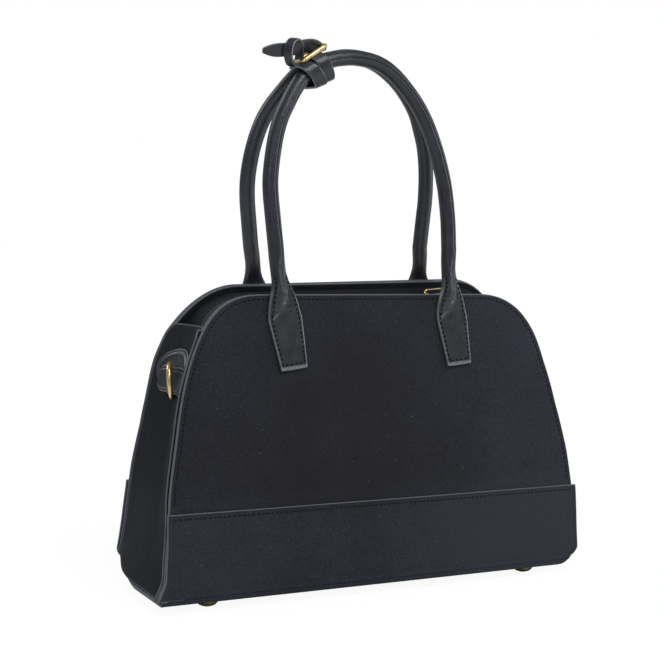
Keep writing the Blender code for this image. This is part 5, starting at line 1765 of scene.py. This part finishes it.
@dataclass
class Belt:
    """The strap wound round both handles, with its keeper, its buckle and its pointed tail.

    The tail's points, its upright direction and the shifts are along the handles, across them and away from them.
    """

    finishes: Finishes
    handles: Handles
    width: float = 0.0090
    thickness: float = 0.0018
    middle_x: float = -0.0380
    turns: int = 2
    steps: int = 60
    pitch: float = 0.0095
    clearance: float = 0.0013
    start_turns: float = -1.5
    drop: float = 0.0046
    tail: tuple[tuple[float, float, float], ...] = (
        (0.0040, -0.0014, 0.0076), (0.0030, -0.0020, 0.0094), (0.0014, -0.0026, 0.0113),
        (-0.0012, -0.0032, 0.0129), (-0.0046, -0.0039, 0.0139), (-0.0084, -0.0045, 0.0146),
        (-0.0130, -0.0050, 0.0152), (-0.0195, -0.0053, 0.0165), (-0.0270, -0.0055, 0.0186),
        (-0.0372, -0.0056, 0.0218),
    )
    tail_upright: tuple[float, float, float] = (0.40, -0.25, 0.88)
    tip_steps: int = 16
    tip_taper: float = 0.62
    edge_paint: float = 0.62
    buckle_length: float = 0.0235
    buckle_depth: float = 0.0150
    buckle_wire: float = 0.0018
    buckle_shift: tuple[float, float, float] = (-0.0030, -0.0050, -0.0020)
    buckle_tilt: float = 11.0
    buckle_corner: float = 0.0028
    prong_radius: float = 0.0007
    prong_offset: float = 0.0046
    keeper_width: float = 0.0062
    keeper_thickness: float = 0.0018
    keeper_at: int = 32
    keeper_loop: tuple[float, float] = (0.0085, 0.0076)
    keeper_turn: float = -60.0
    keeper_shift: tuple[float, float, float] = (0.0012, -0.0006, -0.0023)

    def build(self) -> None:
        """Make the strap first, because the keeper and buckle lie on it."""
        centres, across, widths = self.strap_route()
        self.strap(centres, across, widths)
        self.keeper(centres, across)
        self.buckle()

    def station(self, along_by: Array) -> tuple[Array, Array, Array]:
        """Look along the back handle.

        Args:
            along_by: How far from the winding's middle each place is.

        Returns:
            The middle points between the handles, their slopes and the handles' half distance.
        """
        route = self.handles.route(Side.BACK)
        run, rising = along(route), len(route) // 2
        at = np.interp(self.middle_x, route[:rising, 0], run[:rising]) + along_by
        x, y, z = looked_up(at, run, route).T
        step = SIZES.handle_radius / 2
        before, after = (looked_up(at + shift, run, route) for shift in (-step, step))
        slope = np.arctan2(after[:, 2] - before[:, 2], after[:, 0] - before[:, 0])
        return np.stack((x, np.zeros_like(x), z), axis=-1), slope, y

    def frame(self) -> tuple[Array, Array]:
        """The middle of the winding, and the directions along, across and away from the handles as columns.

        Returns:
            The middle, and the directions as columns.
        """
        spot, slope, _ = self.station(np.zeros(1))
        c, s = math.cos(slope[0]), math.sin(slope[0])
        return spot[0], np.array(((c, 0.0, -s), (0.0, 1.0, 0.0), (s, 0.0, c)))

    def radius(self) -> float:
        """How far the strap's middle is from the handles' middle lines."""
        return SIZES.handle_radius + self.clearance + self.thickness / 2

    def wound(self, turn: Array) -> Array:
        """Points of the winding: a stadium round both handles, moved along by the pitch with each turn.

        The stadium's arcs have the strap's radius, and its straights join their tops and bottoms. Its underside
        hangs by drop times the depth.

        Args:
            turn: How many turns each point is from the start.

        Returns:
            The points.
        """
        spot, slope, straight = self.station(self.pitch * (self.start_turns + turn))
        r = self.radius()
        arc = math.pi * r
        run = (turn % 1.0) * (2 * arc + 4 * straight)
        first, second = run - straight, run - straight - arc
        third = second - 2 * straight
        last = third - arc
        cases = [first < 0, second < 0, third < 0, last < 0]
        front, back = math.pi / 2 + first / r, -math.pi / 2 + third / r
        y = np.select(
            cases, [-run, -straight + r * np.cos(front), -straight + second, straight + r * np.cos(back)],
            straight - last,
        )
        up = np.select(cases, [r, r * np.sin(front), -r, r * np.sin(back)], r)
        up = up - self.drop * np.maximum(-up, 0.0) / r
        normal = np.stack((-np.sin(slope), np.zeros_like(slope), np.cos(slope)), axis=-1)
        return spot + normal * up[:, None] + np.array((0.0, 1.0, 0.0)) * y[:, None]

    def strap_route(self) -> tuple[Array, Array, Array]:
        """The strap's route from end to end.

        Returns:
            The points of its middle line, the direction of its width at each, and its width at each.
        """
        spot, turn = self.frame()
        wound = self.wound(np.linspace(0.0, self.turns, self.turns * self.steps + 1))
        tail = smooth_route([tuple((wound[-1] - spot) @ turn), *self.tail], self.steps)
        turning = np.clip(np.arange(1, self.steps) / 27, 0.0, 1.0)[:, None]
        wide = (1 - turning) * np.array((1.0, 0.0, 0.0)) + turning * np.array(self.tail_upright)
        centres = np.vstack((wound, spot + tail[1:] @ turn.T))
        across = np.vstack((np.repeat(turn[:, :1].T, len(wound), axis=0), wide @ turn.T))
        widths = np.full(len(centres), self.width)
        widths[-self.tip_steps:] *= 1 - self.tip_taper * np.linspace(0.0, 1.0, self.tip_steps) ** 2.0
        return centres, across, widths

    def strap(self, centres: Array, across: Array, widths: Array) -> None:
        """The strap: a rounded oblong carried along its route, with painted edges.

        Args:
            centres: The points of its middle line.
            across: The direction of its width at each point.
            widths: Its width at each point.
        """
        ahead = tangents(centres)
        across = square_to(across, ahead)
        shape = soft_box(0.5, self.thickness / 2, 0.28, 24)
        sections = np.repeat(shape[None], len(centres), axis=0)
        sections[..., 0] *= widths[:, None]
        made = sweep(centres, across, np.cross(ahead, across), sections)
        edge = self.edge_paint * smooth(0.40, 0.485, np.abs(shape[:, 0]))
        made.masks["paint"] = np.append(np.tile(edge, len(centres)), (1.0, 1.0))
        made.add("belt_leather", self.finishes.leather, "leather", "belt_strap", body="handles")

    def keeper(self, centres: Array, across: Array) -> None:
        """The keeper: a loose loop round the tail, turned a little about the strap's width.

        Args:
            centres: The points of the strap's middle line.
            across: The direction of the strap's width at each point.
        """
        at = self.turns * self.steps + self.keeper_at
        ahead = unit(centres[at + 1] - centres[at - 1])
        wide = square_to(across[at], ahead)
        turn = rotation(Vector(wide.tolist()), self.keeper_turn)
        out, ahead = turn @ np.cross(ahead, wide), turn @ ahead
        loop = soft_box(*self.keeper_loop, 0.95, 64)
        route = centres[at] + np.array(self.keeper_shift) + loop[:, :1] * wide + loop[:, 1:] * out
        directions = np.repeat(ahead[None], 64, axis=0)
        section = soft_box(self.keeper_width / 2, self.keeper_thickness / 2, 0.3, 24)
        made = sweep(route, directions, np.cross(directions, tangents(route, closed=True)), section, closed=True)
        edge = smooth(0.80, 0.97, np.abs(section[:, 0]) * 2 / self.keeper_width)
        made.masks["paint"] = np.tile(self.edge_paint * edge, 64)
        made.add("belt_keeper_leather", self.finishes.leather, "leather", "belt_keeper", body="handles")

    def buckle(self) -> None:
        """The buckle's wire frame, an oblong with round corners, and the prong across it."""
        spot, turn = self.frame()
        spot, turn = spot + turn @ np.array(self.buckle_shift), turn @ rotation("Y", -self.buckle_tilt)
        lift = self.radius() + self.thickness / 2 + 0.0003 + self.buckle_wire
        half_l, half_d = (size / 2 - self.buckle_wire for size in (self.buckle_length, self.buckle_depth))
        angles, r = np.linspace(0.0, math.pi / 2, 9), self.buckle_corner
        corners = []
        for quarter, (sx, sy) in enumerate(((1, 1), (-1, 1), (-1, -1), (1, -1))):
            a = angles + quarter * math.pi / 2
            corners.append(np.column_stack((sx * (half_l - r) + r * np.cos(a), sy * (half_d - r) + r * np.sin(a))))
        flat = smooth_route(np.vstack(corners), 120, closed=True)
        reach = half_d - self.buckle_wire - 0.0003
        line = np.column_stack((np.full(24, -self.prong_offset), np.linspace(-reach, reach, 24)))
        for name, solid, way, radius, count, closed in (
            ("buckle_wire", "buckle_frame", flat, self.buckle_wire, 20, True),
            ("buckle_pin", "buckle_prong", line, self.prong_radius, 16, False),
        ):
            route = spot + np.column_stack((way, np.full(len(way), lift))) @ turn.T
            made = wire(route, turn[:, 2], radius, count, closed)
            made.add(name, self.finishes.gold, "gold", solid, body="handles")


@dataclass
class Hardware:
    """The rings at the ends, the feet and the zip's puller. Each foot_x is the left feet's and the right ones'."""

    finishes: Finishes
    ring_height: float = 0.0250
    ring_depth: float = 0.0145
    ring_wire: float = 0.0016
    ring_rest: float = 62.0
    ring_lean: tuple[float, float] = (0.06, 0.16)
    foot_x: tuple[float, float] = (0.1262, 0.1155)
    foot_y: float = 0.0405
    foot_radius: float = 0.0076
    puller_at: tuple[float, float, float] = (0.07195, 0.0, 0.1966)
    puller_length: float = 0.0215
    puller_width: float = 0.0090
    puller_wire: float = 0.0007
    puller_raise: float = -5.0
    puller_roll: float = 24.0

    def build(self) -> None:
        """Make all the metal that isn't the zip's own."""
        self.puller()
        for hand in Hand:
            self.ring(hand)
            for side in Side:
                self.foot(hand, side)

    def ring(self, hand: Hand) -> None:
        """A D-shaped ring: half an ellipse and a straight bar, let down forwards.

        Args:
            hand: Which end of the bag.
        """
        s = SIZES
        half, reach = self.ring_height / 2 - self.ring_wire, self.ring_depth - 2 * self.ring_wire
        angles = np.linspace(-math.pi / 2, math.pi / 2, 25)
        up_bow = half * np.sign(angles) * np.abs(np.sin(angles)) ** 0.8
        bow = np.column_stack((reach * np.abs(np.cos(angles)) ** 0.6, up_bow))
        bar = np.column_stack((np.zeros(11), np.linspace(half, -half, 13)[1:-1]))
        flat = smooth_route(np.vstack((bow, bar)), 128, closed=True)
        swing = math.radians(self.ring_rest)
        ahead = np.array((hand.value * math.cos(swing), -math.sin(swing), 0.0))
        up = unit(np.array((hand.value * self.ring_lean[0], self.ring_lean[1], 1.0)))
        route = np.array((hand.value * s.ring_x, s.ring_y, s.ring_z)) + flat[:, :1] * ahead + flat[:, 1:] * up
        made = wire(route, np.cross(ahead, (0.0, 0.0, 1.0)), self.ring_wire, 18)
        solid = f"{hand.label}_ring"
        made.add(f"{solid}_wire", self.finishes.gold, "gold", solid, body=solid)

    def puller(self) -> None:
        """The zip's puller: a long wire loop with one round end, raised a little and rolled to the front."""
        radius = self.puller_width / 2 - self.puller_wire
        reach = self.puller_length - radius - 2 * self.puller_wire
        angles = np.linspace(-math.pi / 2, math.pi / 2, 17)
        bow = np.column_stack((-reach - radius * np.cos(angles), radius * np.sin(angles)))
        end = np.linspace(1.0, -1.0, 5)[:, None] * np.array((0.0, 0.75 * radius))
        sides, corner = np.linspace(0.12, 0.88, 5)[:, None], np.array((0.0, 0.92 * radius))
        back, out_again = bow[-1] * (1 - sides) + corner * sides, -corner * (1 - sides) + bow[0] * sides
        flat = smooth_route(np.vstack((bow, back, end, out_again)), 140, closed=True)
        turn = rotation("Y", self.puller_raise) @ rotation("X", self.puller_roll)
        route = np.array(self.puller_at) + flat @ turn[:, :2].T
        made = wire(route, turn[:, 2], self.puller_wire, 16)
        made.add("puller_wire", self.finishes.gold, "gold", "zip_puller", body="puller")

    def foot(self, hand: Hand, side: Side) -> None:
        """A foot: a turned dome with a flat underneath, a thin shank and a small head inside the base.

        Args:
            hand: Which end of the bag.
            side: Which side of the bag.
        """
        solid = f"{side.label}_{hand.label}_foot"
        r, top = self.foot_radius, SIZES.foot_height - 0.0003
        angles = np.linspace(0.42, math.pi / 2, 12)
        dome = [(r * math.sin(a) ** 0.9, top * (1 - math.cos(a) ** 0.8)) for a in angles]
        profile = [
            (0.0, 0.0), (0.0022, 0.0), *dome, (r - 0.0002, top), (0.0015, top), (0.0015, 0.0113),
            (0.0036, 0.0113), (0.0034, 0.0121), (0.0, 0.0123),
        ]
        across = hand.value * self.foot_x[hand is Hand.RIGHT]
        made = lathe(profile, (across, side.value * self.foot_y, 0.0))
        # The feet take the gold that is painted darker for shade.
        made.add(f"{solid}_dome", self.finishes.worn_gold, "gold", solid, sharp_degrees=40.0)


@dataclass
class Stage:
    """The pale floor, the soft light and the camera."""

    eye: tuple[float, float, float] = (-0.4849, -0.8752, 0.2549)
    azimuth: float = 27.94
    pitch: float = 5.01
    roll: float = 1.72
    lens: float = 79.2
    floor_half: float = 6.0

    def build(self) -> None:
        """Set up everything that isn't the bag."""
        self.floor()
        self.world()
        self.lamps()
        self.camera()
        bpy.context.scene.view_settings.view_transform = "Standard"

    def floor(self) -> None:
        """A wide pale floor. The camera sees it glow nearly white, whiter far away, and it keeps the bag's shadow."""
        size = self.floor_half
        mesh = bpy.data.meshes.new("floor")
        mesh.from_pydata([(-size, -size, 0), (size, -size, 0), (size, size, 0), (-size, size, 0)], [], [(0, 1, 2, 3)])
        obj = bpy.data.objects.new("floor", mesh)
        bpy.context.scene.collection.objects.link(obj)
        g = Graph(bpy.data.materials.new("pale_floor"))
        pale = g.principled({"Base Color": shade((246, 246, 246)), "Roughness": 0.9})
        far = (g.axis("X") ** 2 + g.axis("Y") ** 2).step(0.16, 0.80)
        tone = g.mix(far, shade((250, 250, 250)), shade((255, 255, 255)))
        glow = g.node("Emission", {0: tone, 1: 1.09})
        seen = g.node("LightPath", {}, "Is Camera Ray")
        g.show(g.blend(seen * 0.90, pale, glow))
        mesh.materials.append(g.owner)

    def world(self) -> None:
        """A soft grey surround that the camera sees as white."""
        g = Graph(bpy.data.worlds.new("studio"))
        light = g.node("Background", {"Color": (0.88, 0.94, 1.0, 1.0), "Strength": 0.36})
        white = g.node("Background", {"Color": (1.0, 1.0, 1.0, 1.0)})
        camera, through = (g.node("LightPath", {}, f"Is {ray} Ray") for ray in ("Camera", "Transmission"))
        seen = g.node("Math", {0: camera, 1: through}, operation="MAXIMUM")
        g.show(g.blend(seen, light, white))
        bpy.context.scene.world = g.owner

    def lamps(self) -> None:
        """Soft lamps: above and in front, to the right, a small one to the left, and behind."""
        for name, place, size, power, tint in (
            ("key", (0.2, -1.7, 2.0), 1.3, 32.0, (1.0, 0.99, 0.98)),
            ("fill", (2.0, -0.8, 0.8), 1.4, 15.0, (0.90, 0.95, 1.0)),
            ("strip", (-1.5, -1.5, 0.9), 0.35, 2.2, (0.94, 0.97, 1.0)),
            ("rear", (-1.3, 1.2, 1.6), 1.2, 12.0, (0.94, 0.97, 1.0)),
        ):
            data = bpy.data.lights.new(name, "AREA")
            data.energy, data.size, data.color = power, size, tint
            lamp = bpy.data.objects.new(name, data)
            towards = Vector((0.0, 0.0, 0.15)) - Vector(place)
            lamp.matrix_world = Matrix.Translation(place) @ towards.to_track_quat("-Z", "Y").to_matrix().to_4x4()
            bpy.context.scene.collection.objects.link(lamp)

    def camera(self) -> None:
        """The photograph's view: azimuth and pitch aim it, and it rolls about its own axis."""
        az, pitch, roll = (math.radians(v) for v in (self.azimuth, self.pitch, self.roll))
        back = np.array((-math.sin(az) * math.cos(pitch), -math.cos(az) * math.cos(pitch), math.sin(pitch)))
        right = unit(np.cross(-back, (0.0, 0.0, 1.0)))
        up = np.cross(right, -back)
        turned = right * math.cos(roll) + up * math.sin(roll)
        above = -right * math.sin(roll) + up * math.cos(roll)
        matrix = np.eye(4)
        matrix[:3] = np.column_stack((turned, above, back, self.eye))
        data = bpy.data.cameras.new("photo_view")
        data.lens, data.sensor_width, data.clip_start = self.lens, 36.0, 0.01
        obj = bpy.data.objects.new("photo_view", data)
        obj.matrix_world = Matrix(matrix.tolist())
        bpy.context.scene.collection.objects.link(obj)
        bpy.context.scene.camera = obj


def main() -> None:
    """Build the bag's pieces in order, and the stage."""
    logging.basicConfig(level=logging.INFO, format="%(message)s", stream=sys.stdout)
    finishes = Finishes()
    handles = Handles(finishes)
    for part in (
        Stage(), Panels(finishes), Gussets(finishes), ZipTop(finishes), handles, Belt(finishes, handles),
        Hardware(finishes),
    ):
        LOG.info("making the %s", type(part).__name__.lower())
        part.build()
    bpy.context.view_layer.update()


if __name__ == "__main__":
    main()
